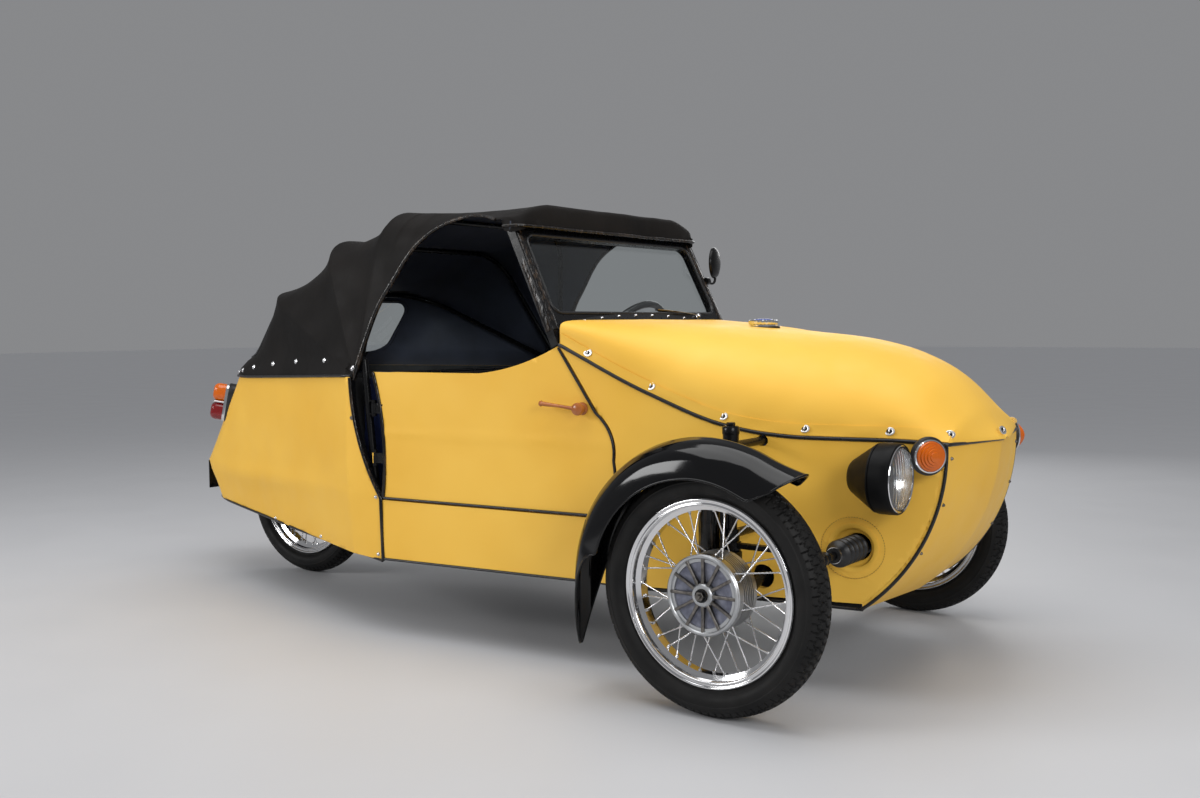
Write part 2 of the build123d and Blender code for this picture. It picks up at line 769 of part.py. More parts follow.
def fender_section_circle():
    """Centre and radius of the fender's section: its half-width and the drop to each edge differ by side."""
    ax, ay = -fender_half_width, 308.0
    bx, by = 0.0, fender_crown_radius
    cx, cy = fender_half_width, 285.0
    d = 2 * (ax * (by - cy) + bx * (cy - ay) + cx * (ay - by))
    sa, sb, sc = ax * ax + ay * ay, bx * bx + by * by, cx * cx + cy * cy
    ux = (sa * (by - cy) + sb * (cy - ay) + sc * (ay - by)) / d
    uy = (sa * (cx - bx) + sb * (ax - cx) + sc * (bx - ax)) / d
    return ux, uy, hypot(bx - ux, by - uy)


def fender_inner_y(z):
    """Where the fender's inboard face stands straight above the hub at a height."""
    ux, uy, radius = fender_section_circle()
    return fender_mid_y + ux - sqrt(radius * radius - (z - fender_centre[1] - uy) ** 2)


def fender_face(radius_shift=0.0):
    """Half-tube section, drawn as distance from the fender's centre and y."""
    top, low_out, low_in = fender_crown_radius, 285.0, 308.0
    mid, half, t = fender_mid_y, fender_half_width, fender_sheet
    outer = ThreePointArc((low_out, mid + half), (top, mid), (low_in, mid - half))
    inner = ThreePointArc((low_in, mid - half + t), (top - t, mid), (low_out, mid + half - t))
    low_end = Line((low_in, mid - half), (low_in, mid - half + t))
    high_end = Line((low_out, mid + half - t), (low_out, mid + half))
    return make_face([e.edge() for e in (outer, inner, low_end, high_end)])


def make_fender():
    """Left fender: the section is turned about the centre, then runs straight to a pointed tip."""
    cx, cz = fender_centre
    front_turn, rear_turn = 65.0, 207.0
    a = radians(front_turn)
    plane = Plane(origin=(cx, 0, cz), x_dir=(cos(a), 0, sin(a)), z_dir=(-sin(a), 0, cos(a)))
    section = plane * fender_face()
    axis = Axis((cx, 0, cz), (0, -1, 0))
    guard = revolve(section, axis, rear_turn - front_turn)
    beak = extrude(section, -150)
    crown, reach = fender_crown_radius, 128
    x, z = cx + crown * cos(a) + reach * sin(a), cz + crown * sin(a) - reach * cos(a)
    cut = [(x, z + 60), (x, z), (x - 95, z - 55), (x - 95, z - 200), (x + 200, z - 200), (x + 200, z + 60)]
    beak = beak - polygon_xz(cut, fender_mid_y - 200, fender_mid_y + 200)
    shape = guard + beak
    return largest(shape)


def make_tyre():
    """Tyre as a turned section with a round tread and an open bead."""
    half, bead = tyre_width / 2, 27.0
    r_out, r_mid = tyre_radius, 245.0
    shoulder = (half - 6, r_out - 18)
    lip = (bead + 1.5, rim_flange_radius + 2)
    foot = (bead - 10, rim_seat_radius + 0.3)
    cavity = (bead - 4, 226.0)
    left = [(-bead, foot[1]), (-half, r_mid), (-shoulder[0], shoulder[1])]
    edges = [
        Line(left[0], (-lip[0], lip[1])),
        ThreePointArc((-lip[0], lip[1]), (-half + 4, r_mid - 14), left[1]),
        Line(left[1], left[2]),
        ThreePointArc(left[2], (0, r_out), (shoulder[0], shoulder[1])),
        Line((shoulder[0], shoulder[1]), (half, r_mid)),
        ThreePointArc((half, r_mid), (half - 4, r_mid - 14), lip),
        Line(lip, (bead, foot[1])),
        Line((bead, foot[1]), foot),
        Line(foot, cavity),
        ThreePointArc(cavity, (0, r_out - 20), (-cavity[0], cavity[1])),
        Line((-cavity[0], cavity[1]), (-foot[0], foot[1])),
        Line((-foot[0], foot[1]), left[0]),
    ]
    return turned(edges)


def turned(edges):
    """A ring about the y axis through the origin from edges drawn as y, radius."""
    plane = Plane(origin=(0, 0, 0), x_dir=(0, 1, 0), z_dir=(1, 0, 0))
    face = plane * make_face([e.edge() for e in edges])
    return revolve(face, Axis((0, 0, 0), (0, 1, 0)), 360)


def make_rim():
    """Rolled rim with a well, fused with its laced spokes."""
    h, flange, seat, well = rim_width / 2, rim_flange_radius, rim_seat_radius, rim_well_radius
    t = rim_sheet
    outer = [(h - 20, well - t), (h - 14, seat - t), (h, seat - t), (h, flange)]
    inner = [(h - t, flange), (h - t, seat), (h - 15, seat), (h - 21, well)]
    half_section = outer + inner
    shape = turned_polygon(half_section + [(-y, r) for y, r in reversed(half_section)])
    lean = 16.0
    for i in range(spoke_count):
        side = 1 if i % 2 else -1
        trail = lean if (i // 2) % 2 else -lean
        a = 2 * pi * i / spoke_count
        b = a + radians(trail)
        start = ((hub_radius + 1.4) * cos(b), side * 30.0, (hub_radius + 1.4) * sin(b))
        end = ((well - 1) * cos(a), side * 4.0, (well - 1) * sin(a))
        shape = shape + rod(start, end, spoke_radius)
    return shape


def turned_polygon(points):
    plane = Plane(origin=(0, 0, 0), x_dir=(0, 1, 0), z_dir=(1, 0, 0))
    face = plane * make_face(Polyline(*points, close=True))
    return revolve(face, Axis((0, 0, 0), (0, 1, 0)), 360)


def make_hub(outer_side):
    """Full-width hub. Its outer face is dished, with radial ribs and a centre boss."""
    h = hub_width / 2
    bore = axle_radius + running_gap
    fins = []
    for i in range(hub_fin_count):
        start = -hub_fin_span / 2 + i * hub_fin_span / hub_fin_count
        end = start + hub_fin_span / hub_fin_count / 2
        fins += [(start, hub_radius), (start, hub_radius - hub_fin_depth), (end, hub_radius - hub_fin_depth)]
        fins.append((end, hub_radius))
    profile = [(-h, bore), (-h, hub_radius - 6), (-h + 6, hub_radius), *fins, (h - 6, hub_radius)]
    profile += [(h, hub_radius - 6), (h, hub_radius - 16), (h - 22, hub_radius - 22), (h - 22, 30)]
    profile += [(h - 2, 28), (h - 2, bore)]
    shape = turned_polygon(profile)
    for i in range(12):
        a = 360 * i / 12
        rib = box_between((26, h - 24, -3.5), (hub_radius - 17, h - 6, 3.5))
        shape = shape + Rot(0, a, 0) * rib
    return shape if outer_side > 0 else mirror(shape, about=Plane.XZ)


# Rear axle


def make_rear_fork():
    """Swinging fork from the frame to the rear axle, with a spring unit each side."""
    z, x = tyre_radius, -wheelbase
    shape = rod((fork_pivot[0], -330, fork_pivot[1]), (fork_pivot[0], 330, fork_pivot[1]), fork_tube_radius)
    shape = shape + rod((x, -92, z), (x, 92, z), axle_radius)
    for side in (1, -1):
        y = side * 84
        shape = shape + rod((fork_pivot[0], y, fork_pivot[1]), (x, y, z), 15)
        shape = shape + Pos(x, y, z) * Rot(90, 0, 0) * Cylinder(24, 20)
        shape = shape + rod((x + 60, y, z), (x + 60, y + side * 38, z), 12)
        foot = Vector(x + 60, y + side * 26, z)
        top = Vector(spring_top[0], y + side * 26, spring_top[1])
        run = (top - foot).normalized()
        shape = shape + rod(tuple(foot), tuple(top - run * (14 + seat_gap + 8)), 24)
        shape = shape + rod(tuple(foot), tuple(top - run * (14 + seat_gap)), 9)
    return shape


def make_engine():
    block = box_between((-1500, -200, floor_z - 3 + 2 * seat_gap - 0.3), (-1330, 200, 540))
    return block - rod((fork_pivot[0], -300, fork_pivot[1]), (fork_pivot[0], 300, fork_pivot[1]), 26)


# Lamps and small pieces


def side_surface(x, z):
    """A point on the left body side and the outward direction there."""
    slope = (half_width(x + 1) - half_width(x - 1)) / 2
    return Vector(x, half_width(x), z), Vector(-slope, 1, 0).normalized()


def stem_from_side(x, z, length, radius, skin=0.0):
    """A round stem that stands square on the left body side."""
    point, out = side_surface(x, z)
    start = point + out * (seat_gap - skin)
    return rod(tuple(start), tuple(start + out * length), radius)


def make_headlamp_shell():
    x, y, z = headlamp_centre
    r = headlamp_radius
    back = -headlamp_depth
    outside = [(back, 0), (back, 30), (back + 8, 42), (-52, r - 2), (0, r), (4, r - 4)]
    inside = [(4, r - 9), (-6, r - 9), (-30, r - 22), (-80, 30), (-80, 0)]
    plane = Plane(origin=(x, y, z), x_dir=(1, 0, 0), z_dir=(0, 1, 0))
    face = plane * make_face(Polyline(*outside, *inside, close=True))
    shell = revolve(face, Axis((x, y, z), (1, 0, 0)), 360)
    return shell + stem_from_side(x - 92, z, 60, 13)


def lens_body(origin, direction, radius, base, lens_radius, rise):
    """A drum with a domed lens on it, turned about its own axis."""
    out = Vector(*direction).normalized()
    ball = (lens_radius * lens_radius + rise * rise) / (2 * rise)
    half = asin(lens_radius / ball) / 2
    middle = (ball * sin(half), base + rise - ball + ball * cos(half))
    edges = [
        Line((0, 0), (radius, 0)),
        Line((radius, 0), (radius, base)),
        ThreePointArc((lens_radius, base), middle, (0, base + rise)),
        Line((0, base + rise), (0, 0)),
    ]
    if radius > lens_radius:
        edges.append(Line((radius, base), (lens_radius, base)))
    plane = Plane(origin=origin, z_dir=out)
    local = Plane(origin=(0, 0, 0), x_dir=(1, 0, 0), z_dir=(0, -1, 0))
    body = revolve(local * make_face([e.edge() for e in edges]), Axis((0, 0, 0), (0, 0, 1)), 360)
    return plane * body


def make_headlamp_lens():
    x, y, z = headlamp_centre
    radius = headlamp_radius - 9.4
    return lens_body((x - 5, y, z), (1, 0, 0), radius, 5, radius, 15)


def make_lamps():
    """Round turn signals beside the nose and upright lamps on the rounded corners of the tail."""
    signal = lens_body((374, signal_y, 584), (1, 0.1, 0), 41, 20, 35, 20)
    signal = signal + stem_from_side(382, 584, 20, 8)
    share = (628.0 - tail_levels[1][0]) / (tail_levels[2][0] - tail_levels[1][0])
    _, hip_half, end, end_half, corner = [a + (b - a) * share for a, b in zip(tail_levels[1], tail_levels[2])]
    slope = (hip_half - end_half) / (end + hip[0])
    centre_x = -end + corner
    centre_y = hip_half - slope * (hip[0] - centre_x) - corner * sqrt(1 + slope * slope)
    turn = radians(45)
    point = (centre_x - corner * cos(turn), centre_y + corner * sin(turn), 628.0)
    plane = Plane(origin=point, x_dir=(0, 0, 1), z_dir=(-cos(turn), sin(turn), 0.18))
    outline = plane * RectangleRounded(140, 62, 29)
    lens = extrude(outline, 62)
    lamp = fillet(lens.faces().sort_by(Axis(point, plane.z_dir))[-1].edges(), 20) + extrude(outline, -60)
    heights = [level[0] for level in tail_levels]
    lamp = largest(lamp - tail_solid(-seat_gap, list(zip(tail_levels, heights))))
    return both(signal) + both(lamp)


signal_y = 320.0


def make_fuel_cap():
    z = 905.0
    neck = cylinder_up((fuel_cap_x, 0), fuel_neck_radius, z - 90, z + 4)
    ring = cylinder_up((fuel_cap_x, 0), 40, z - 3, z + 8)
    return neck + ring


def make_mirror():
    """Round mirror on a bent stem beside the left screen pillar."""
    head = (-652.0, 520.0, 1100.0)
    along = (1040.0 - cowl_side_z) / cos(radians(rake))
    foot_x = cowl_x - along * sin(radians(rake)) - 10
    foot_y = screen_half - (screen_half - screen_top_half) * along / screen_height + 0.6
    shape = Plane(origin=head, z_dir=(1, 0.25, 0)) * Pos(0, 0, 8) * Cylinder(52, 16)
    foot = rod((foot_x, foot_y, 1040), (foot_x, foot_y + 22, 1040), 7)
    stem = rod((foot_x, foot_y + 16, 1040), (head[0] + 7, head[1], head[2] - 46), 5)
    return shape + stem + foot


wiper_spindle = (300.0, 80.0)
wiper_tip = (100.0, 104.0)
wiper_arm_radius = 3.0
wiper_lift = 5.6


def make_wiper():
    """The arm lies along the foot of the screen, from its spindle towards the middle."""
    plane = screen_plane()
    a = plane.from_local_coords(Vector(*wiper_spindle, wiper_lift))
    b = plane.from_local_coords(Vector(*wiper_tip, wiper_lift + 1))
    foot = plane.from_local_coords(Vector(*wiper_spindle, seat_gap))
    post = rod(tuple(foot), tuple(plane.from_local_coords(Vector(*wiper_spindle, 12))), 7)
    return rod(tuple(a), tuple(b), wiper_arm_radius) + post


def make_plate_bracket():
    x = -tail_x - plate_bracket_overhang
    plate = box_between((x, -120, 290), (x + 4, 120, 395))
    lean = (tail_x - tail_levels[0][2]) / (crease_z - tail_levels[0][0])
    seat_x = -tail_x + (crease_z - 352) * lean - seat_gap - 0.3
    arms = [box_between((x + 2, s * 36 - 10, 340), (seat_x, s * 36 + 10, 352)) for s in (1, -1)]
    shape = plate + arms[0] + arms[1]
    for s in (1, -1):
        shape = shape - rod((x - 5, s * 85, 320), (x + 10, s * 85, 320), 3.5)
    return shape


def make_controls():
    """Three pedals and the gear lever, each on the floor."""
    floor = floor_z + floor_thickness + 0.3
    pieces = []
    for y in (130.0, 215.0, 300.0):
        stem = rod((-110, y, floor + 3), (-160, y, floor + 120), 6)
        pad = Pos(-162, y, floor + 122) * Rot(0, -35, 0) * Box(50, 46, 8)
        pieces.append(stem + pad)
    lever = rod((-560, -10, floor + 2), (-610, -10, floor + 260), 7)
    pieces.append(lever + Pos(-610, -10, floor + 262) * Sphere(19))
    return pieces


def make_handle():
    """Round boss near the door's front edge with a lever that points back."""
    x, z = -491.0, 680.0
    point, out = side_surface(x, z)
    boss = stem_from_side(x, z, 30, 14, skin=1.0)
    lever = rod(tuple(point + out * 24), (x - 105, half_width(x - 105) + 28, z + 12), 7)
    return boss + lever


def make_tie_rods():
    """The sliding rod inside the rack housing with a rubber boot and a ball joint at each end."""
    reach = kingpin[1] - 14
    z = rack_z
    shape = rod((rack_x, -reach, z), (rack_x, reach, z), rack_rod_radius)
    start = half_width(rack_x) - wall - 24
    for side in (1, -1):
        boot = None
        step = 15.0
        for i in range(8):
            y0 = side * (start + 100 + i * step * 0.5)
            r = 27 if i % 2 else 22
            ring = rod((rack_x, y0, z), (rack_x, y0 + side * step * 0.5, z), r)
            boot = ring if boot is None else boot + ring
        ball = cylinder_up((rack_x, side * (reach - 2)), 16, z - 14, 371.4)
        shape = shape + boot + ball
    return shape


# Everything into its file


def export(name, shape):
    """Moves a finished piece to the car's own frame and writes it."""
    pieces = shape if isinstance(shape, list) else [shape]
    solids = [s for piece in pieces for s in piece.solids()]
    moved = [Pos(front_axle_x, 0, 0) * s for s in solids]
    whole = moved[0] if len(moved) == 1 else Compound(children=moved)
    whole.label = name
    export_step(whole, f"parts/{name}.step")


def main():
    os.makedirs("parts", exist_ok=True)
    main_bonnet, _ = bonnet_solid(0)
    export("bonnet", make_bonnet())
    side = make_side_panel(main_bonnet)
    export("side_panel_left", side)
    export("side_panel_right", mirrored(side))
    export("front_panel", make_front_panel())
    export("rear_body", make_rear_body())
    export("floor_pan", make_floor())
    export("chassis_frame", make_chassis())
    export("windscreen_frame", make_screen_frame())
    export("window_glass", [make_glass(), make_rear_window()])
    export("hood", make_hood())
    export("hood_bows", make_bows())
    export("seat_cushions", [make_seat_cushion(), make_seat_back()])
    export("seat_base", make_seat_base())
    export("dashboard", make_dashboard())
    export("steering_column", make_column())
    export("steering_wheel", make_steering_wheel())
    export("tie_rods", make_tie_rods())
    export("front_axle", make_front_axle())
    export("rear_fork", make_rear_fork())
    export("engine_block", make_engine())
    export("headlamp_shells", both(make_headlamp_shell()))
    export("headlamp_lenses", both(make_headlamp_lens()))
    export("signal_lamps", make_lamps())
    export("fuel_cap", make_fuel_cap())
    export("mirror", make_mirror())
    export("wiper", make_wiper())
    export("plate_bracket", make_plate_bracket())
    export("floor_controls", make_controls())
    door, handle = make_door(), make_handle()
    knuckle, fender = make_knuckle(), make_fender()
    for name, fit in (("left", lambda s: s), ("right", mirrored)):
        export(f"door_{name}", fit(door))
        export(f"door_handle_{name}", fit(handle))
        export(f"knuckle_{name}", fit(knuckle))
        export(f"fender_{name}", fit(fender))
    tyre, rim = make_tyre(), make_rim()
    places = {
        "front_left": (0, track / 2, 1),
        "front_right": (0, -track / 2, -1),
        "rear": (-wheelbase, 0, 1),
    }
    for name, (x, y, facing) in places.items():
        place = Pos(x, y, tyre_radius)
        export(f"tyre_{name}", place * tyre)
        export(f"rim_{name}", place * rim)
        export(f"hub_{name}", place * make_hub(facing))


main()
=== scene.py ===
"""Looks for a light three wheeled car: stretched leatherette over a tube frame, soft top and spoked wheels.
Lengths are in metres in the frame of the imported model: x to the nose, y to the car's left, z up.
Places on the body are written in millimetres from the front axle, as a workshop drawing would give them."""

from math import atan2, cos, hypot, pi, radians, sin, tan

import bmesh
import bpy
from mathutils import Matrix, Vector, noise
from mathutils.bvhtree import BVHTree


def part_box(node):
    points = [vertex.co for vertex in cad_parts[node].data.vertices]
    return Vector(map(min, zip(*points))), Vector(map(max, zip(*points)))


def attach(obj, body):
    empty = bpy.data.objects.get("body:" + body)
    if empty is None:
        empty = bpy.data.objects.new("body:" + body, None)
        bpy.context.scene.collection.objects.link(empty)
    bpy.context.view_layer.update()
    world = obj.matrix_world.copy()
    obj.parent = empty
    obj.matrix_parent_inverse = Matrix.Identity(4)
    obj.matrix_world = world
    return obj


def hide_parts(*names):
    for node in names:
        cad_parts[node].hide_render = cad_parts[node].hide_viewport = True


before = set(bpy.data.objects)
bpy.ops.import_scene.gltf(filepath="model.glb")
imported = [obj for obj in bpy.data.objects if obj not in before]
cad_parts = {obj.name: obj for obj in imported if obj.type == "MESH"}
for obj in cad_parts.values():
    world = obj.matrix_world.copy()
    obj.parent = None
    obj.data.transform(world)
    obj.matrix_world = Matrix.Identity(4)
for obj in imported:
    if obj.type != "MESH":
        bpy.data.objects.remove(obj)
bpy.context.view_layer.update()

MM = 0.001
BELL_BASE = 2.718
SIDES = ((-1, "right"), (1, "left"))
AHEAD, LEFT, UP = Vector((1, 0, 0)), Vector((0, 1, 0)), Vector((0, 0, 1))
tyre_low, tyre_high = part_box("tyre_front_left")
rear_low, rear_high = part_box("tyre_rear")
FRONT_X = (tyre_low.x + tyre_high.x) / 2
REAR_X = (rear_low.x + rear_high.x) / 2
TYRE_R = (tyre_high.z - tyre_low.z) / 2
TRACK_Y = (tyre_low.y + tyre_high.y) / 2
M = {}


def P(x, y, z):
    """A place on the car in millimetres from the front axle, the middle line and the ground."""
    return Vector((FRONT_X + x * MM, y * MM, z * MM))


def ramp(value):
    """A value held between zero and one."""
    return min(1.0, max(0.0, value))


def bell(value):
    """One at zero, falling off smoothly to both sides."""
    return BELL_BASE ** -(value ** 2)


def signed_power(value, power):
    return abs(value) ** power * (1 if value > 0 else -1)


def circle(count):
    """Cosine and sine of even steps round a circle."""
    return [(cos(2 * pi * k / count), sin(2 * pi * k / count)) for k in range(count)]


def add_object(name, data):
    """Puts a mesh, a camera or a light in the scene."""
    obj = bpy.data.objects.new(name, data)
    bpy.context.scene.collection.objects.link(obj)
    return obj


# Camera, lights and floor

camera_place = P(1382, -3016, 900)
camera_azimuth, camera_pitch, camera_roll = radians(35.33), radians(3.52), radians(-0.406)
camera_focal_px, photo_width_px = 1217.7, 1200


def make_camera():
    data = bpy.data.cameras.new("camera")
    data.sensor_width = 36.0
    data.lens = camera_focal_px / photo_width_px * data.sensor_width
    data.clip_end = 200
    obj = add_object("camera", data)
    look = Vector((-sin(camera_azimuth) * cos(camera_pitch), cos(camera_azimuth) * cos(camera_pitch),
                   -sin(camera_pitch)))
    right = look.cross(UP).normalized()
    up = right.cross(look)
    side = right * cos(camera_roll) + up * sin(camera_roll)
    top = up * cos(camera_roll) - right * sin(camera_roll)
    turn = Matrix((side, top, -look)).transposed()
    obj.matrix_world = Matrix.Translation(camera_place) @ turn.to_4x4()
    bpy.context.scene.camera = obj


def make_lights():
    for name, place, target, size, power in (
            ("overhead", (0.6, -0.6, 3.6), (0.2, 0, 0.4), (4.2, 2.6), 88),
            ("front", (4.4, -2.6, 2.1), (0.5, 0, 0.6), (1.8, 1.4), 62),
            ("side", (-2.8, -4.2, 2.2), (-0.3, 0, 0.6), (2.0, 1.3), 80),
            ("far", (-1.2, 4.4, 2.4), (0, 0, 0.7), (3.0, 1.8), 40)):
        data = bpy.data.lights.new(name, "AREA")
        data.shape = "RECTANGLE"
        data.size, data.size_y = size
        data.energy = power
        obj = add_object(name, data)
        obj.location = place
        obj.rotation_euler = (Vector(target) - Vector(place)).to_track_quat("-Z", "Y").to_euler()


# Materials


def set_inputs(tree, node, values):
    """Sets or links the inputs of a node. A key is an input's number, or its name with _ for a space."""
    for key, value in values.items():
        socket = node.inputs[key.replace("_", " ") if isinstance(key, str) else key]
        if isinstance(value, bpy.types.NodeSocket):
            tree.links.new(value, socket)
        else:
            socket.default_value = value


def new_node(tree, kind, *ordered, **named):
    node = tree.nodes.new("ShaderNode" + kind)
    set_inputs(tree, node, {**dict(enumerate(ordered)), **named})
    return node


def new_tree(key, name):
    material = bpy.data.materials.new(name)
    material.use_nodes = True
    M[key] = material
    return material.node_tree


def add_look(key, name, colour, roughness, metallic=0.0, tint=None, dull=None, relief=(), **sockets):
    """Adds a Principled material. A pattern is the scale, detail and stretch of a noise texture, or only the
    scale of a cell texture. tint has a pattern, two colours and where in the pattern they lie, dull a pattern
    and two values of roughness, and relief patterns with their bump's height in metres and its strength."""
    tree = new_tree(key, name)
    bsdf = tree.nodes["Principled BSDF"]
    sockets.update({"Base Color": (*colour, 1), "Roughness": roughness, "Metallic": metallic})
    set_inputs(tree, bsdf, sockets)
    coords = new_node(tree, "TexCoord").outputs["Object"]

    def pattern(scale, detail=None, stretch=(1, 1, 1)):
        if detail is None:
            return new_node(tree, "TexVoronoi", Scale=scale, Vector=coords).outputs["Distance"]
        place = new_node(tree, "Mapping", Scale=stretch, Vector=coords).outputs["Vector"]
        return new_node(tree, "TexNoise", Scale=scale, Detail=detail, Vector=place).outputs["Fac"]
    if tint:
        source, low, high, *ends = tint
        shades = new_node(tree, "ValToRGB", Fac=pattern(*source))
        for element, position, shade in zip(shades.color_ramp.elements, ends or (0.3, 0.7), (low, high)):
            element.position = position
            element.color = (*shade, 1)
        tree.links.new(shades.outputs["Color"], bsdf.inputs["Base Color"])
    if dull:
        source, low, high = dull
        share = new_node(tree, "MapRange", Value=pattern(*source), From_Min=0.3, From_Max=0.7, To_Min=low,
                         To_Max=high)
        tree.links.new(share.outputs["Result"], bsdf.inputs["Roughness"])
    normal = {}
    for source, height, strength in relief:
        layer = new_node(tree, "Bump", Strength=strength, Distance=height, Height=pattern(*source), **normal)
        normal = {"Normal": layer.outputs["Normal"]}
    set_inputs(tree, bsdf, normal)


def add_clear_glass(key, name, tint):
    """Thin glass: mostly clear, with a gloss that grows at a glancing angle."""
    tree = new_tree(key, name)
    tree.nodes.remove(tree.nodes["Principled BSDF"])
    clear = new_node(tree, "BsdfTransparent", Color=(*tint, 1)).outputs["BSDF"]
    gloss = new_node(tree, "BsdfGlossy", Roughness=0.03).outputs["BSDF"]
    facing = new_node(tree, "LayerWeight", Blend=0.5).outputs["Facing"]
    steep = new_node(tree, "Math", facing, 4.0)
    steep.operation = "POWER"
    share = new_node(tree, "MapRange", Value=steep.outputs["Value"], To_Min=0.035, To_Max=0.75)
    mix = new_node(tree, "MixShader", share.outputs["Result"], clear, gloss)
    tree.links.new(mix.outputs["Shader"], tree.nodes["Material Output"].inputs["Surface"])


def make_materials():
    add_look("yellow", "yellow_leatherette", (0.88, 0.505, 0.06), 0.5, Specular_IOR_Level=0.42,
             tint=((2.2, 3), (0.85, 0.475, 0.048), (0.91, 0.54, 0.072), 0.35, 0.65),
             dull=((14, 3), 0.46, 0.60), relief=(((620,), 0.00022, 0.55), ((18, 3), 0.0022, 0.35)))
    add_look("hood", "black_hood_cloth", (0.0065, 0.0056, 0.005), 0.6, Specular_IOR_Level=0.16,
             tint=((5, 4), (0.0045, 0.0038, 0.0034), (0.010, 0.0082, 0.0072)), dull=((9, 3), 0.52, 0.70),
             relief=(((900,), 0.0002, 0.5), ((26, 3), 0.002, 0.4)))
    add_look("lining", "navy_lining", (0.035, 0.042, 0.065), 0.7,
             tint=((12, 3), (0.030, 0.036, 0.056), (0.042, 0.050, 0.078)), relief=(((700,), 0.0002, 0.5),))
    add_look("blue", "blue_vinyl", (0.02, 0.032, 0.11), 0.42, Coat_Weight=0.1,
             tint=((8, 3), (0.016, 0.026, 0.09), (0.026, 0.04, 0.13)), relief=(((480,), 0.0003, 0.6),))
    add_look("piping", "black_piping", (0.010, 0.010, 0.011), 0.33, dull=((60, 2), 0.25, 0.42))
    # The tint's light brown streaks, stretched along z, are painted sheen: they stand in for highlights along
    # the shiny folds of the black vinyl.
    add_look("gathered", "gathered_vinyl_painted_sheen", (0.007, 0.0058, 0.005), 0.2, Specular_IOR_Level=0.4,
             tint=((120, 3, (1, 1, 0.10)), (0.003, 0.0024, 0.002), (0.060, 0.040, 0.026), 0.50, 0.72),
             relief=(((90, 3, (1, 1, 0.14)), 0.004, 0.8),))
    add_look("gloss_black", "fender_gloss", (0.0025, 0.0025, 0.003), 0.09, Specular_IOR_Level=0.36,
             dull=((11, 4), 0.05, 0.13), relief=(((9, 2), 0.0025, 0.4),))
    add_look("satin_black", "satin_black", (0.0045, 0.0045, 0.005), 0.25, Specular_IOR_Level=0.24,
             dull=((35, 3), 0.20, 0.34), relief=(((260, 2), 0.0002, 0.4),))
    add_look("lamp_black", "lamp_black", (0.004, 0.004, 0.0043), 0.42, Specular_IOR_Level=0.12,
             dull=((35, 3), 0.36, 0.50))
    add_look("floor", "floor_black", (0.022, 0.022, 0.023), 0.7, dull=((20, 4), 0.6, 0.85),
             relief=(((180, 3), 0.0005, 0.5),))
    add_look("chrome", "chrome", (0.76, 0.76, 0.77), 0.06, 1.0, dull=((45, 3), 0.04, 0.13))
    add_look("nickel", "nickel", (0.88, 0.87, 0.85), 0.36, 1.0, dull=((45, 3), 0.30, 0.42))
    add_look("alloy", "cast_alloy", (0.46, 0.47, 0.48), 0.36, 1.0, dull=((50, 3), 0.28, 0.46),
             tint=((30, 4), (0.40, 0.41, 0.42), (0.52, 0.53, 0.54)), relief=(((420, 2), 0.0002, 0.5),))
    add_look("spoke", "zinc_spoke", (0.62, 0.62, 0.62), 0.22, 1.0, dull=((80, 2), 0.15, 0.35))
    add_look("dark_steel", "dark_steel", (0.16, 0.15, 0.14), 0.35, 1.0,
             tint=((90, 3), (0.10, 0.095, 0.09), (0.24, 0.22, 0.20)))
    add_look("rubber", "tyre_rubber", (0.0062, 0.0062, 0.0064), 0.55, Specular_IOR_Level=0.24,
             tint=((16, 4), (0.0045, 0.0045, 0.0046), (0.0105, 0.0098, 0.0092)), dull=((22, 3), 0.48, 0.68),
             relief=(((300, 2), 0.0003, 0.5),))
    add_look("boot", "boot_rubber", (0.009, 0.009, 0.0095), 0.38, dull=((60, 2), 0.3, 0.5))
    add_look("amber", "amber_lens", (0.68, 0.135, 0.004), 0.10, Transmission_Weight=0.12, IOR=1.49,
             Coat_Weight=0.3, relief=(((260,), 0.0005, 0.5),))
    add_look("red", "red_lens", (0.24, 0.006, 0.008), 0.12, Transmission_Weight=0.25, IOR=1.49,
             Coat_Weight=0.5, relief=(((260,), 0.0005, 0.5),))
    add_look("handle", "amber_brown_plastic", (0.36, 0.105, 0.018), 0.28, Coat_Weight=0.3,
             tint=((25, 3), (0.30, 0.08, 0.012), (0.44, 0.14, 0.028)))
    add_look("brass", "brass_arm", (0.40, 0.27, 0.10), 0.34, 1.0, dull=((60, 3), 0.26, 0.46))
    add_look("engine", "engine_cast", (0.22, 0.22, 0.22), 0.55, 0.9, relief=(((160, 4), 0.0008, 0.6),))
    add_look("blue_cap", "blue_cap", (0.03, 0.06, 0.30), 0.25, Coat_Weight=0.5, dull=((60, 2), 0.2, 0.32))
    add_look("seat", "seat_blue_vinyl", (0.016, 0.024, 0.075), 0.4,
             tint=((7, 3), (0.012, 0.019, 0.06), (0.022, 0.032, 0.10)), relief=(((480,), 0.0003, 0.6),))
    add_look("dish", "hub_dish_paint", (0.15, 0.16, 0.21), 0.42, 0.5,
             tint=((45, 5), (0.085, 0.09, 0.13), (0.26, 0.27, 0.33)))
    add_look("thread", "yellow_thread", (0.40, 0.22, 0.035), 0.7, dull=((90, 2), 0.6, 0.8))
    add_look("marks", "white_marks", (0.75, 0.75, 0.72), 0.5, dull=((90, 2), 0.4, 0.6))
    add_look("reflector", "reflector", (0.90, 0.91, 0.92), 0.24, 1.0, dull=((40, 2), 0.22, 0.30))
    add_clear_glass("glass", "screen_glass", (0.90, 0.93, 0.93))
    add_look("lamp_glass", "fluted_lamp_glass", (0.96, 0.97, 0.98), 0.03, Transmission_Weight=0.96, IOR=1.45,
             dull=((40, 2), 0.02, 0.06))
    add_look("stage", "pale_floor", (0.56, 0.56, 0.57), 0.55, dull=((3, 3), 0.5, 0.62))


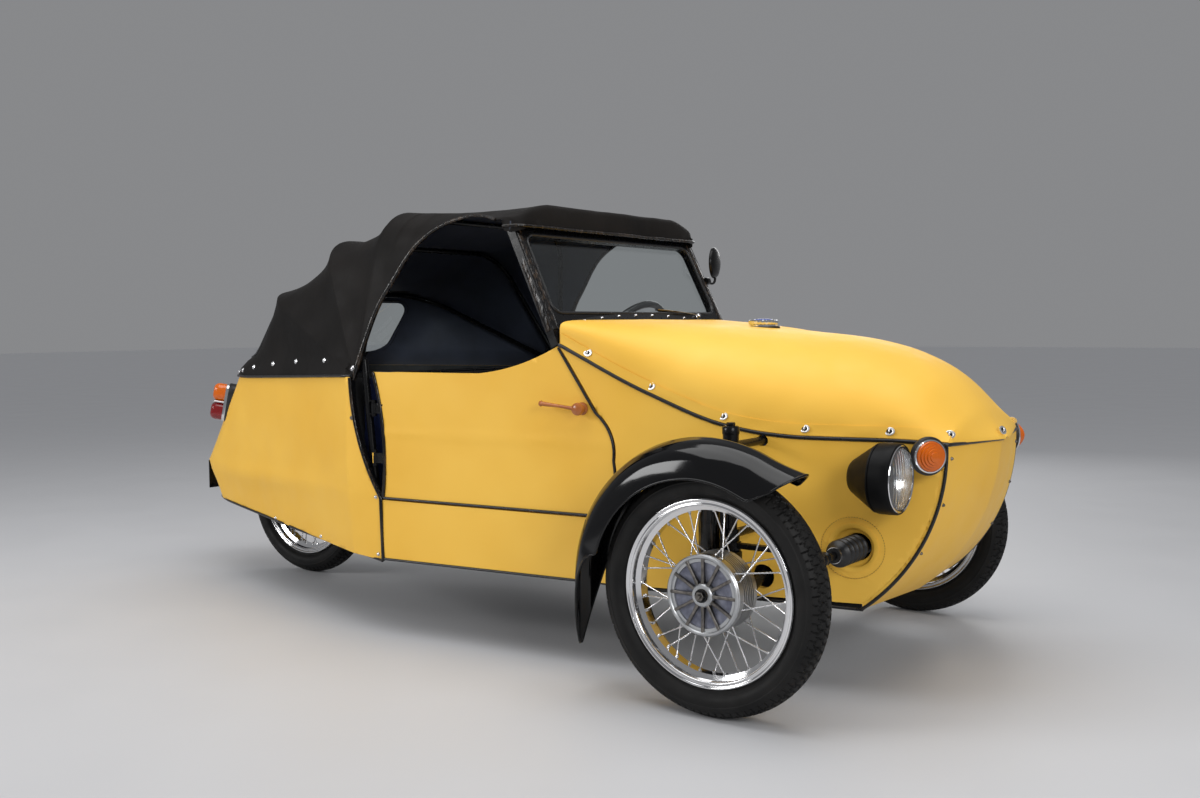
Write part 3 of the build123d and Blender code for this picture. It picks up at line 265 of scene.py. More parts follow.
def make_world():
    """A grey backdrop that the camera, gloss and glass see, and a brighter one that lights the car."""
    world = bpy.data.worlds.new("studio")
    bpy.context.scene.world = world
    world.use_nodes = True
    tree = world.node_tree
    lit = tree.nodes["Background"]
    set_inputs(tree, lit, {"Color": (0.86, 0.88, 0.92, 1), "Strength": 0.46})
    seen = new_node(tree, "Background", Color=(0.245, 0.248, 0.256, 1), Strength=1.0)
    rays = new_node(tree, "LightPath").outputs
    total = rays["Is Camera Ray"]
    for name in ("Is Glossy Ray", "Is Transmission Ray"):
        either = new_node(tree, "Math", total, rays[name])
        either.operation = "MAXIMUM"
        total = either.outputs["Value"]
    mix = new_node(tree, "MixShader", total, lit.outputs["Background"], seen.outputs["Background"])
    tree.links.new(mix.outputs["Shader"], tree.nodes["World Output"].inputs["Surface"])


# Mesh helpers


def tidy_normals(obj, smooth=40):
    bm = bmesh.new()
    bm.from_mesh(obj.data)
    bmesh.ops.recalc_face_normals(bm, faces=bm.faces)
    bm.to_mesh(obj.data)
    bm.free()
    shade(obj, smooth)


def shade(obj, smooth):
    obj.data.shade_smooth()
    obj.data.set_sharp_from_angle(angle=radians(smooth))


def new_object(name, verts, faces, smooth=40, look=None):
    mesh = bpy.data.meshes.new(name)
    mesh.from_pydata([tuple(v) for v in verts], [], faces)
    mesh.validate()
    if look:
        mesh.materials.append(M[look])
    obj = add_object(name, mesh)
    tidy_normals(obj, smooth)
    return obj


def rows_object(rows, ends="caps", smooth=40, look=None, name="part"):
    """A skin through rows of points, each row as long as the next. The rows are closed, and at the ends they
    have caps, stay open or meet in a ring; the rows of a sheet are open too."""
    n = len(rows[0])
    faces = []
    for i in range(len(rows) if ends == "ring" else len(rows) - 1):
        near, far = i * n, (i + 1) % len(rows) * n
        for j in range(n - 1 if ends == "sheet" else n):
            k = (j + 1) % n
            faces.append((near + j, near + k, far + k, far + j))
    if ends == "caps":
        faces.append(tuple(range(n)))
        faces.append(tuple((len(rows) - 1) * n + j for j in range(n)))
    return new_object(name, [p for row in rows for p in row], faces, smooth, look)


def apply_modifiers(obj):
    bpy.context.view_layer.update()
    graph = bpy.context.evaluated_depsgraph_get()
    mesh = bpy.data.meshes.new_from_object(obj.evaluated_get(graph))
    old = obj.data
    obj.modifiers.clear()
    obj.data = mesh
    bpy.data.meshes.remove(old)


def modify(obj, kind, **settings):
    modifier = obj.modifiers.new("change", kind)
    for key, value in settings.items():
        setattr(modifier, key, value)
    apply_modifiers(obj)


def thicken(obj, depth, offset=0, smooth=60, even_depth=True):
    """Turns an open skin into a closed sheet."""
    modify(obj, "SOLIDIFY", thickness=depth, offset=offset, use_even_offset=even_depth)
    tidy_normals(obj, smooth)
    return obj


def axis_frame(direction):
    """A direction and two more at right angles to it."""
    d = Vector(direction).normalized()
    helper = UP if abs(d.z) < 0.9 else AHEAD
    u = d.cross(helper).normalized()
    return d, u, d.cross(u)


def lathe(profile, centre, direction, segments, look=None, ring=False, smooth=35, name="part"):
    """A turned body from radius and height pairs in millimetres about an axis. The profile of a ring is
    closed; any other has its ends near the axis and gets caps there."""
    d, u, v = axis_frame(direction)
    centre = Vector(centre)
    turns = circle(segments)
    rows = [[centre + d * (h * MM) + (u * c + v * s) * (r * MM) for c, s in turns] for r, h in profile]
    return rows_object(rows, "ring" if ring else "caps", smooth, look, name)


def tube(points, radius, sides, look=None, step=None, cyclic=False, flat=1.0, name="part"):
    """A round strand through points. Its frame is carried along so that it doesn't twist. The radius is a
    number or a function of the share of the way."""
    pts = even(points, step, cyclic) if step else points
    n = len(pts)
    rows = []
    previous = None
    for i in range(n):
        ahead = pts[(i + 1) % n] if cyclic or i < n - 1 else pts[i]
        behind = pts[i - 1] if cyclic or i > 0 else pts[i]
        d = (ahead - behind).normalized()
        if previous is None:
            _, u, _ = axis_frame(d)
        else:
            u = (previous - d * previous.dot(d)).normalized()
        previous = u
        v = d.cross(u)
        r = radius(i / (n - 1)) if callable(radius) else radius
        rows.append([pts[i] + (u * c + v * s * flat) * r for c, s in circle(sides)])
    return rows_object(rows, "ring" if cyclic else "caps", 60, look, name)


def smooth_path(points):
    """Close points on a smooth curve through a few chosen ones."""
    pts = [points[0] * 2 - points[1]] + points + [points[-1] * 2 - points[-2]]
    dense = []
    for p0, p1, p2, p3 in zip(pts, pts[1:], pts[2:], pts[3:]):
        for k in range(16):
            t = k / 16
            dense.append(0.5 * ((2 * p1) + (p2 - p0) * t + (2 * p0 - 5 * p1 + 4 * p2 - p3) * t * t
                                + (3 * p1 - p0 - 3 * p2 + p3) * t ** 3))
    return dense + [points[-1]]


def run_lengths(points):
    lengths = [0.0]
    for a, b in zip(points, points[1:]):
        lengths.append(lengths[-1] + (b - a).length)
    return lengths


def sample(points, count):
    """Resamples a polyline to a set number of points."""
    lengths = run_lengths(points)
    out = []
    j = 0
    for i in range(count):
        s = lengths[-1] * i / (count - 1)
        while j < len(lengths) - 2 and lengths[j + 1] < s:
            j += 1
        span = max(lengths[j + 1] - lengths[j], 1e-12)
        out.append(points[j].lerp(points[j + 1], ramp((s - lengths[j]) / span)))
    return out


def even(points, step, cyclic=False):
    """Resamples a polyline to about even steps."""
    pts = points + [points[0]] if cyclic else points
    out = sample(pts, max(3, int(round(run_lengths(pts)[-1] / step)) + 1))
    return out[:-1] if cyclic else out


def curve_value(table):
    """A smooth function through x, value pairs, without overshoot."""
    table = sorted(table)
    xs = [a for a, _ in table]
    ys = [b for _, b in table]
    slopes = [(ys[i + 1] - ys[i]) / (xs[i + 1] - xs[i]) for i in range(len(xs) - 1)]
    tangents = [slopes[0]]
    for a, b in zip(slopes, slopes[1:]):
        tangents.append(0.0 if a * b <= 0 else 2 * a * b / (a + b))
    tangents.append(slopes[-1])

    def value(x):
        x = min(max(x, xs[0]), xs[-1])
        i = 0
        while i < len(xs) - 2 and x > xs[i + 1]:
            i += 1
        h = xs[i + 1] - xs[i]
        t = (x - xs[i]) / h
        a, b = 2 * t ** 3 - 3 * t * t + 1, t ** 3 - 2 * t * t + t
        c, d = 3 * t * t - 2 * t ** 3, t ** 3 - t * t
        return a * ys[i] + b * h * tangents[i] + c * ys[i + 1] + d * h * tangents[i + 1]

    return value


def dress(obj, look, body="body", replaces=None):
    """Gives a piece its material, if one is named, and its place in the frame."""
    if look:
        obj.data.materials.clear()
        obj.data.materials.append(M[look])
    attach(obj, body)
    if replaces:
        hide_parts(replaces)
    return obj


def strand(name, points, step, radius, sides, look, body="body", cyclic=False):
    """A tube that is a piece of its own."""
    return dress(tube(points, radius, sides, None, step, cyclic, name=name), look, body)


def join(name, objects):
    """Makes one mesh of several."""
    bm = bmesh.new()
    materials = []
    for obj in objects:
        start = len(bm.faces)
        base = len(materials)
        materials += list(obj.data.materials)
        bm.from_mesh(obj.data)
        bm.faces.ensure_lookup_table()
        for f in bm.faces[start:]:
            f.material_index += base
    mesh = bpy.data.meshes.new(name)
    bm.to_mesh(mesh)
    bm.free()
    for m in materials:
        mesh.materials.append(m)
    for obj in objects:
        old = obj.data
        bpy.data.objects.remove(obj)
        if old.users == 0:
            bpy.data.meshes.remove(old)
    return add_object(name, mesh)


def group(name, objects, look, body="body", replaces=None):
    """Joins objects to a piece. Those without a material of their own get this one."""
    for obj in objects:
        if not obj.data.materials:
            obj.data.materials.append(M[look])
    return dress(join(name, objects), None, body, replaces)


def mirrored(obj):
    """The same mesh on the other side of the car."""
    mesh = obj.data.copy()
    mesh.transform(Matrix.Scale(-1, 4, (0, 1, 0)))
    mesh.flip_normals()
    return mesh


def mirror_pair(obj, other, look=None, replaces=None):
    """Dresses a piece and makes its twin on the other side."""
    twin = add_object(other, mirrored(obj))
    dress(obj, look, replaces=replaces)
    dress(twin, look)


# Body side, shared by panels and piping

nose_corner = (417.0, 261.0)
knee = (-400.0, 445.0)
hip = (-1300.0, 525.0)
knee_reach = 60.0
front_slope = 0.2252
bonnet_tip = 476.0


def side_y(x):
    """Half-width of the body at a station, with a soft bend at the knee."""
    front = (knee[1] - nose_corner[1]) / (knee[0] - nose_corner[0])
    rear = (hip[1] - knee[1]) / (hip[0] - knee[0])
    if x > knee[0] + knee_reach:
        return nose_corner[1] + (x - nose_corner[0]) * front
    if x < knee[0] - knee_reach:
        return knee[1] + (x - knee[0]) * rear
    t = (knee[0] + knee_reach - x) / (2 * knee_reach)
    start = nose_corner[1] + (knee[0] + knee_reach - nose_corner[0]) * front
    return start - 2 * knee_reach * (front * (t - t * t / 2) + rear * t * t / 2)


seam_z = curve_value([(-560, 848), (-473, 806), (-298, 722), (-112, 650), (0, 630), (88, 624), (285, 623),
                      (417, 617), (474, 612)])
crown_z = curve_value([(-560, 912), (-315, 900), (-200, 891), (-100, 880), (80, 861), (195, 837), (250, 817),
                       (327, 775), (417, 688), (440, 652), (458, 630), (474, 618)])
crown_power = curve_value([(-560, 11.0), (-460, 6.5), (-300, 3.8), (-200, 3.0), (0, 2.5), (250, 2.25),
                           (330, 2.05), (417, 1.5), (474, 1.45)])
bonnet_fastener_x = (-473, -298, -112, 88, 285, 412)
bonnet_end = [417, 424, 431, 438, 445, 452, 459, 465, 470, 473]


def bonnet_half(x):
    """Half-width of the bonnet's foot. In front of the nose's corners it narrows to a point."""
    if x <= nose_corner[0]:
        return side_y(x)
    return nose_corner[1] * (bonnet_tip - x) / (bonnet_tip - nose_corner[0])


def wobble(x, y, z, scale, seed=0.0):
    """Smooth noise from minus one to one; scale is the size of its waves in millimetres."""
    return noise.noise(Vector((x / scale + seed, y / scale - seed, z / scale + seed * 0.5)))


def bonnet_point(x, share):
    """A point on the bonnet: share runs from the right seam, 0, over the crown to the left seam, 1."""
    low, high, power = seam_z(x), crown_z(x), crown_power(x)
    c, s = cos(pi * share), max(sin(pi * share), 0.0)
    return Vector((x, -signed_power(c, 2 / power) * bonnet_half(x), low + (s ** (2 / power)) * (high - low)))


def bonnet_y(x, z):
    """How far out the bonnet stands at a height."""
    rise = (z - seam_z(x)) / (crown_z(x) - seam_z(x))
    return bonnet_half(x) * (max(0.0, 1 - rise ** crown_power(x))) ** (1 / crown_power(x))


def bonnet_wrinkle(x, y, z):
    """How far the cover stands out or sinks: puckers at its fasteners and long soft waves."""
    above = z - seam_z(x)
    out = 2.6 * wobble(x * 0.5, y, z, 210, 3.1) + 1.0 * wobble(x, y, z, 70, 8.2)
    for fx in bonnet_fastener_x:
        near = (x - fx) ** 2 + (above - 20) ** 2
        out -= 2.6 * BELL_BASE ** (-near / (2 * 16.0 ** 2))
    return out + sin((x - 20) / 27.0) * 1.7 * bell((above - 16) / 22.0)


def make_bonnet_cover():
    rows = []
    for x in [-560 + i * 9.5 for i in range(103)] + bonnet_end:
        middle = Vector((x, 0, seam_z(x) + (crown_z(x) - seam_z(x)) * 0.2))
        row = []
        for p in sample([bonnet_point(x, k / 400) for k in range(401)], 97):
            out = p - middle
            out.x = 0
            out = out.normalized() if out.length > 1e-6 else UP
            fade = min(1.0, (p.z - seam_z(x)) / 10.0)
            fade *= min(1.0, (473 - x) / 40.0)
            row.append(P(*(p + out * bonnet_wrinkle(p.x, p.y, p.z) * fade)))
        rows.append(row)
    obj = thicken(rows_object(rows, "sheet", 70, name="bonnet_cover"), 0.004, -1, 70)
    dress(obj, "yellow", replaces="bonnet")


def seam_path(lift, out):
    """The line under the bonnet's edge, from the right screen corner round the nose to the left one."""
    half = [(x, -(side_y(x) + out), seam_z(x) + lift) for x in range(-562, 411, 12)]
    corner = (nose_corner[0] + out * 0.5, -(nose_corner[1] + out * 0.5), seam_z(nose_corner[0]) + lift)
    tip = (459 + out, 0, seam_z(459) + lift)
    half.append(corner)
    for k in range(1, 8):
        t = k / 8
        half.append((corner[0] + (tip[0] - corner[0]) * t, corner[1] * (1 - t),
                     corner[2] + (tip[2] - corner[2]) * t))
    return [P(*p) for p in half + [tip] + [(x, -y, z) for x, y, z in reversed(half)]]


def make_bonnet_trim():
    strand("bonnet_piping", seam_path(-2.0, 1.0), 0.008, 0.0048, 8, "piping")
    hem_rows = []
    for x in range(-556, 417, 12):
        strip = []
        for share in (0.0, 0.35, 0.7, 1.0):
            z = seam_z(x) + 4 + 27 * share
            y = bonnet_y(x, z)
            y += bonnet_wrinkle(x, y, z) * min(1.0, (z - seam_z(x)) / 10.0) + 1.3
            strip.append((x, y, z))
        hem_rows.append(strip)
    for side, name in SIDES:
        rows = [[P(x, y * side, z) for x, y, z in row] for row in hem_rows]
        hem = rows_object(rows, "sheet", 60, name=f"bonnet_hem_{name}")
        dress(thicken(hem, 0.0016), "yellow")


def fastener(place, out):
    """A small oval turn fastener: a bright plate, a dark slot and a turn button."""
    d, _, _ = axis_frame(out)
    along = (AHEAD - d * d.x).normalized()
    across = d.cross(along)
    rings = [[place + (along * c * 13.5 + across * s * 10.0) * scale * MM + d * height * MM
              for c, s in circle(24)]
             for scale, height in ((1.0, -0.5), (1.0, 0.8), (0.82, 1.5), (0.55, 1.2), (0.45, 0.6))]
    slot = [[place + (along * c * 7.6 + across * s * 5.4 + d * lift) * MM for c, s in circle(16)]
            for lift in (0.4, 1.7)]
    arch = [place + across * t * 4.6 * MM + d * (1.6 + 2.6 * (1 - t * t)) * MM
            for t in (-1, -0.6, -0.2, 0.2, 0.6, 1)]
    return [rows_object(rings, smooth=30, look="nickel"), rows_object(slot, look="piping"),
            tube(arch, 0.0021, 8, "chrome")]


def make_bonnet_fasteners():
    parts = []
    for side in (-1, 1):
        for x in bonnet_fastener_x:
            z = seam_z(x) + 20
            parts += fastener(P(x, side * (bonnet_y(x, z) + 0.6), z), (0, side, 0.25))
    parts += fastener(P(468, -22, 634), (1, -0.35, 0.2))
    group("bonnet_fasteners", parts, None)


# Flat covers: the CAD panels cut into small cells, softened and given the stretch of the real cover


def cut_cells(node, name, step, planes):
    bm = bmesh.new()
    bm.from_mesh(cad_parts[node].data)
    bmesh.ops.remove_doubles(bm, verts=bm.verts, dist=2e-5)
    low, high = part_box(node)
    for axis in planes:
        normal = Vector((0, 0, 0))
        normal[axis] = 1
        count = int((high[axis] - low[axis]) / step)
        for k in range(1, count + 1):
            at = low.copy()
            at[axis] = low[axis] + k * (high[axis] - low[axis]) / (count + 1)
            geometry = bm.verts[:] + bm.edges[:] + bm.faces[:]
            bmesh.ops.bisect_plane(bm, geom=geometry, plane_co=at, plane_no=normal, dist=1e-6)
    bmesh.ops.remove_doubles(bm, verts=bm.verts, dist=3e-4)
    bmesh.ops.recalc_face_normals(bm, faces=bm.faces)
    mesh = bpy.data.meshes.new(name)
    bm.to_mesh(mesh)
    bm.free()
    return add_object(name, mesh)


def soften(obj, rounds, edge_angle):
    """Smooths the faces of a cut panel and keeps its edges where they are."""
    bm = bmesh.new()
    bm.from_mesh(obj.data)
    fixed = set()
    for e in bm.edges:
        if len(e.link_faces) != 2 or e.calc_face_angle(0) > radians(edge_angle):
            fixed.update(e.verts)
    free = [v for v in bm.verts if v not in fixed]
    for _ in range(rounds):
        bmesh.ops.smooth_vert(bm, verts=free, factor=0.5, use_axis_x=True, use_axis_y=True, use_axis_z=True)
    bm.to_mesh(obj.data)
    bm.free()


def two_faces(obj, outside, inside, outward):
    """Outer faces get one material, inner ones another."""
    obj.data.materials.clear()
    for look in (outside, inside):
        obj.data.materials.append(M[look])
    for poly in obj.data.polygons:
        poly.material_index = 1 if poly.normal.dot(outward(poly.center)) < -0.5 else 0


def side_out(c):
    return Vector((0, 1 if c.y > 0 else -1, 0))


def station(point):
    """How far a point lies in front of the front axle, in millimetres."""
    return (point.x - FRONT_X) / MM


def make_cover(node, name, stretch, planes, step=0.016, rounds=4, edge_angle=30, outward=side_out,
               inside="blue", body="body"):
    """A cover from a CAD panel. stretch turns a point's place on the car into its shift in millimetres."""
    obj = cut_cells(node, name, step, planes)
    soften(obj, rounds, edge_angle)
    for v in obj.data.vertices:
        v.co += Vector(stretch(station(v.co), v.co.y / MM, v.co.z / MM)) * MM
    shade(obj, 35)
    two_faces(obj, "yellow", inside, outward)
    return dress(obj, None, body, node)


def blacken(obj, chosen):
    """Paints the edge faces that a test picks."""
    obj.data.materials.append(M["satin_black"])
    for poly in obj.data.polygons:
        if chosen(poly):
            poly.material_index = 2


rack_opening = (225, 368)
collar_place = (204.0, 361.0)
collar_reach = 52.0


def collar_pull(x, z):
    """How far the cover round the rack's opening is drawn, back and down, fading out over a hand's width."""
    away = hypot(x - rack_opening[0], z - rack_opening[1])
    share = ramp(1 - (away - 54) / collar_reach)
    share *= share * (3 - 2 * share)
    return (collar_place[0] - rack_opening[0]) * share, (collar_place[1] - rack_opening[1]) * share


def make_side_covers():
    for side, name in SIDES:
        def stretch(x, y, z, side=side):
            fade = ramp((z - 225) / 40) * ramp((seam_z(x) - z) / 30)
            out = 3.0 * wobble(x, 0, z, 260, 1.7) + 1.2 * wobble(x, 0, z, 90, 5.5)
            out += 1.6 if 60 < hypot(x - rack_opening[0], z - rack_opening[1]) < 76 else 0.0
            dx, dz = collar_pull(x, z)
            return dx, side * (out * fade - dx * front_slope), dz
        make_cover(f"side_panel_{name}", f"side_cover_{name}", stretch, (0, 2))


def make_door_covers():
    def edge(poly):
        """The door's rear edge and what lies behind its straps."""
        z = poly.center.z / MM
        strap = min(abs(z - 515), abs(z - 660)) < 17
        deep = abs(poly.center.y) < (0.5145 if strap else 0.5095)
        return station(poly.center) < (-1168 if strap else -1140) and deep and poly.material_index == 0
    for side, name in SIDES:
        def stretch(x, y, z, side=side):
            out = 2.4 * wobble(x, 0, z, 300, 2.9) + 0.9 * wobble(x, 0, z, 100, 7.5)
            return 0, side * (out + 1.5 * bell((z - 590) / 9)), 0
        blacken(make_cover(f"door_{name}", f"door_cover_{name}", stretch, (0, 2), body=f"door_{name}"), edge)


def make_nose_cover():
    def stretch(x, y, z):
        fade = ramp((z - 220) / 60) * ramp((612 - z) / 40)
        fade *= ramp((255 - abs(y)) / 40)
        return fade * (2.5 * wobble(0, y, z, 160, 4.2) + 1.2 * wobble(0, y, z, 60, 9.1)), 0, 0
    return make_cover("front_panel", "nose_cover", stretch, (1, 2), 0.015, outward=lambda c: AHEAD)


def make_rear_cover():
    def outward(c):
        return -AHEAD if station(c) < -2200 else side_out(c)

    def stretch(x, y, z):
        fade = ramp((z - 215) / 50) * ramp((748 - z) / 40)
        fade *= ramp((-1200 - x) / 60)
        out = 4.5 * wobble(x, y, z, 280, 6.4) + 1.8 * wobble(x, y, z, 110, 2.2)
        level = 415 + 0.03 * (x + 1200)
        out += 7.0 * bell((z - level) / 34) * ramp((-1350 - x) / 500)
        tail = ramp((-2050 - x) / 300)
        return -out * tail * fade, (1 if y > 0 else -1) * out * (1 - tail) * fade, 0
    obj = make_cover("rear_body", "rear_cover", stretch, (0, 1, 2), 0.025, 8, 40, outward, "floor")
    blacken(obj, lambda poly: station(poly.center) > -1290 and poly.normal.x > 0.45)
    return obj


# Soft top

pivot = (-1280.0, 754.0)
# Angle above the rearward horizontal, half-width at the pivot, half-width at the top, reach, corner radius
hood_rows = [
    (0.0, 523.0, 270.0, 905.0, 255.0),
    (25.3, 519.0, 380.0, 620.0, 190.0),
    (61.5, 515.0, 420.0, 472.0, 150.0),
    (97.0, 511.0, 440.0, 490.0, 130.0),
    (140.0, 507.0, 462.0, 742.0, 45.0),
]
cloth_sag = (20.0, 34.0, 30.0, 12.0)
hood_corner_start, hood_corner_span, hood_corner_drop = 318.0, 140.0, 36.0
base_fall = 24.0
rim_level, rim_blend, rim_clearance = 744.0, 60.0, 6.0
hem_start = 106
hem_reach = curve_value([(hem_start, 0), (108.5, 179), (110.7, 232), (114.2, 297), (117.4, 400), (122.6, 488),
                         (128.4, 560), (133.4, 615), (138.3, 656), (143.1, 690)])
header_fold = [(-711, 1231), (-701, 1231), (-695, 1224), (-691, 1208), (-688, 1190), (-686, 1166)]
window_half, window_low, window_high, window_corner = 300.0, 802.0, 983.0, 40.0
hood_stud_spots = [(-1288, 775), (-1449, 796), (-1635, 789), (-1800, 778), (-1945, 764), (-2035, 751),
                   (-2100, 743)]
hood_points_across = 141
door_opening_rows = slice(59, 92)


def hood_outline(angle):
    """The hood's section at an angle, as across and reach pairs from the right to the left.
    Between two bows the cloth sags, most in the middle of the span."""
    i = 0
    while i < len(hood_rows) - 2 and angle > hood_rows[i + 1][0]:
        i += 1
    low, high = hood_rows[i], hood_rows[i + 1]
    before, after, gap = radians(angle - low[0]), radians(high[0] - angle), radians(high[0] - low[0])
    reach = low[3] * high[3] * sin(gap) / (low[3] * sin(before) + high[3] * sin(after))
    t = reach * sin(before) / (high[3] * sin(gap))
    half, top, corner = [low[k] + (high[k] - low[k]) * t for k in (1, 2, 4)]
    sag = cloth_sag[i] * (1 - abs(2 * t - 1) ** 2.6)
    reach -= sag
    top -= sag * 0.45
    inner = pi - atan2(reach, half - top)
    cut = corner / tan(inner / 2)
    a, b = Vector((-half, 0, 0)), Vector((-top, reach, 0))
    start = b - (b - a).normalized() * cut
    centre = Vector((-top + cut, reach - corner, 0))
    begin = atan2(start.y - centre.y, start.x - centre.x)
    points = [a.lerp(start, k / 30) for k in range(31)]
    for k in range(1, 25):
        turn = begin + (pi / 2 - begin) * k / 24
        points.append(centre + Vector((cos(turn), sin(turn), 0)) * corner)
    points += [Vector((-top + cut, reach, 0)).lerp(Vector((0, reach, 0)), k / 20) for k in range(1, 21)]
    return points + [Vector((-p.x, p.y, 0)) for p in reversed(points[:-1])]


def hood_row(angle, count):
    """Points of the cover at one angle, from the right hem over the top to the left hem."""
    full = hood_outline(angle)
    start = hem_reach(angle) if angle > hem_start else 0.0
    if start > 0:
        i = next(k for k, p in enumerate(full) if p.y > start)
        edge = full[i - 1].lerp(full[i], (start - full[i - 1].y) / (full[i].y - full[i - 1].y))
        full = [edge] + [p for p in full if p.y > start] + [Vector((-edge.x, edge.y, 0))]
    a = radians(angle)
    return [Vector((pivot[0] - cos(a) * p.y, p.x, pivot[1] + sin(a) * p.y)) for p in sample(full, count)]


def hood_fold(p):
    """Small folds of the cloth: gathers above the hip and soft waves elsewhere."""
    x, y, z = p
    low = max(0.0, 1 - (z - 752) / 230)
    out = 1.8 * wobble(x, y, z, 170, 5.0) + 0.9 * wobble(x, y, z, 60, 1.0)
    return out + low * (1 - low) * 4 * 1.4 * sin(x / 33.0 + 0.5 * sin(z / 40.0))


def hood_points(rear_skin):
    """All rows of the cover: round the pivot, then over the header down to the top of the screen."""
    angles = [i * 1.75 for i in range(14)] + [25.3 + i * 1.81 for i in range(21)]
    angles += [63.2 + i * 1.8 for i in range(24)] + [hem_start + i * 0.5 for i in range(12)]
    angles += [112 + i * 1.4 for i in range(21)]
    rows = [hood_row(min(a, 140.0), hood_points_across) for a in angles]
    last = rows[-1]
    for (x0, z0), (x1, z1) in zip(header_fold, header_fold[1:]):
        for k in (1, 2):
            x, z = x0 + (x1 - x0) * k / 2, z0 + (z1 - z0) * k / 2
            rows.append([Vector((p.x + x - header_fold[0][0], p.y, min(p.z, z))) for p in last])
    for number, row in enumerate(rows):
        front = ramp((number - 70) / 16)
        low = min(p.z for p in row)
        high = max(max(p.z for p in row), low + 1)
        base = max(0.0, 1 - number * 1.75 / 25.3) ** 2
        for i, p in enumerate(row):
            out = p - Vector((pivot[0] if p.x > pivot[0] else p.x, 0, pivot[1]))
            out.x *= 0.6
            corner = ramp((abs(p.y) - hood_corner_start) / hood_corner_span)
            fall = front * hood_corner_drop * corner ** 1.5 * (p.z - low) / (high - low)
            fall += base * base_fall * ramp((-1290 - p.x) / 700)
            aside = Vector((p.x + 1700, p.y, 0)) if p.x < -1700 else Vector((0, p.y, 0))
            p = p + out.normalized() * hood_fold(p) - Vector((0, 0, fall))
            if p.z < rim_level + rim_blend and p.x < -1300:
                aside.normalize()
                level = P(p.x, p.y, min(p.z, rim_level))
                place, _ = rear_skin.hit(level + aside * 0.3, -aside)
                need = (place - level).dot(aside) / MM + rim_clearance
                p += aside * max(0.0, need) * min(1.0, (rim_level + rim_blend - p.z) / rim_blend)
            row[i] = p
    return rows


def window_outline():
    """The rear window with its rounded corners, as across and height pairs."""
    half_height = (window_high - window_low) / 2
    outline = []
    for sy, sz, start in ((1, 1, 0), (-1, 1, 90), (-1, -1, 180), (1, -1, 270)):
        y = sy * (window_half - window_corner)
        z = (window_high + window_low) / 2 + sz * (half_height - window_corner)
        for k in range(7):
            a = radians(start + 90 * k / 6)
            outline.append((y + window_corner * cos(a), z + window_corner * sin(a)))
    return outline


class Skin:
    """Finds where a straight line meets a finished cover, so that small pieces sit on it."""

    def __init__(self, obj):
        verts = [v.co.copy() for v in obj.data.vertices]
        self.tree = BVHTree.FromPolygons(verts, [list(p.vertices) for p in obj.data.polygons])

    def hit(self, start, direction):
        place, normal, _, _ = self.tree.ray_cast(start, Vector(direction).normalized())
        if place is None:
            place, normal, _, _ = self.tree.find_nearest(start)
        if normal.dot(Vector(direction)) > 0:
            normal = -normal
        return place, normal


def make_hood(rear_skin):
    rows = hood_points(rear_skin)
    obj = rows_object([[P(*p) for p in row] for row in rows], "sheet", 60, name="hood_cover")
    skin = Skin(obj)
    outline = window_outline()
    bar = rows_object([[P(x, y, z) for y, z in outline] for x in (-2400, -1720)])
    thicken(obj, 0.0035, -1, 60, False)
    modify(obj, "BOOLEAN", operation="DIFFERENCE", solver="EXACT", object=bar)
    bpy.data.objects.remove(bar)
    tidy_normals(obj, 50)
    two_faces(obj, "hood", "lining", lambda c: (c - P(pivot[0] + 60, 0, pivot[1] + 60)).normalized())
    dress(obj, None, replaces="hood")
    make_rear_window(skin, outline)
    make_hood_trim(rows, skin)


def on_hood_tail(skin, y, z, depth):
    place, normal = skin.hit(P(-2600, y, z), AHEAD)
    return place - normal * depth * MM


def make_rear_window(skin, outline):
    rows = []
    for k in range(9):
        z = window_low - 10 + (window_high - window_low + 20) * k / 8
        rows.append([on_hood_tail(skin, y * (window_half + 10) / 12, z, 1.8) for y in range(-12, 13)])
    pane = thicken(rows_object(rows, "sheet", 60, name="rear_window"), 0.0012)
    dress(pane, "glass", replaces="window_glass")
    welt = [on_hood_tail(skin, y * 1.03, 892.5 + (z - 892.5) * 1.09, -0.2) for y, z in outline]
    strand("rear_window_welt", welt, 0.012, 0.004, 8, "piping", cyclic=True)


def dome_stud(place, out, radius=8.5):
    """A press stud: a bright dome on a thin washer."""
    profile = [(radius, -0.6), (radius, 0.6), (radius * 0.86, 1.2), (radius * 0.78, 2.8), (radius * 0.5, 4.6),
               (radius * 0.12, 5.4)]
    return lathe(profile, place, out, 20)


def stud_on(skin, start, direction, radius=8.5):
    return dome_stud(*skin.hit(start, direction), radius)


def make_hood_trim(rows, skin):
    """Rolled hem round the door openings, edge roll along the waist, header strip and press studs."""
    for name, at in (("right", 0), ("left", -1)):
        path = [P(*row[at]) for row in rows[door_opening_rows]]
        path = [path[0] - Vector((0.004, 0, 0.012))] + path
        strand(f"hood_hem_{name}", path, 0.012, lambda share: 0.0085 - 0.004 * share, 10, "gathered")
    strand("hood_base_roll", [P(*p) for p in rows[0]], 0.012, 0.0045, 8, "piping")
    strand("header_roll", [P(p.x + 1.0, p.y, p.z) for p in rows[-1]], 0.012, 0.005, 8, "gathered")
    studs = [stud_on(skin, P(x, side * 700, z), (0, -side, 0)) for side in (-1, 1)
             for x, z in hood_stud_spots]
    studs += [stud_on(skin, P(-2600, y, 750), AHEAD) for y in (-150, -50, 50, 150)]
    group("hood_studs", studs, "chrome")


# Outlines that several pieces share


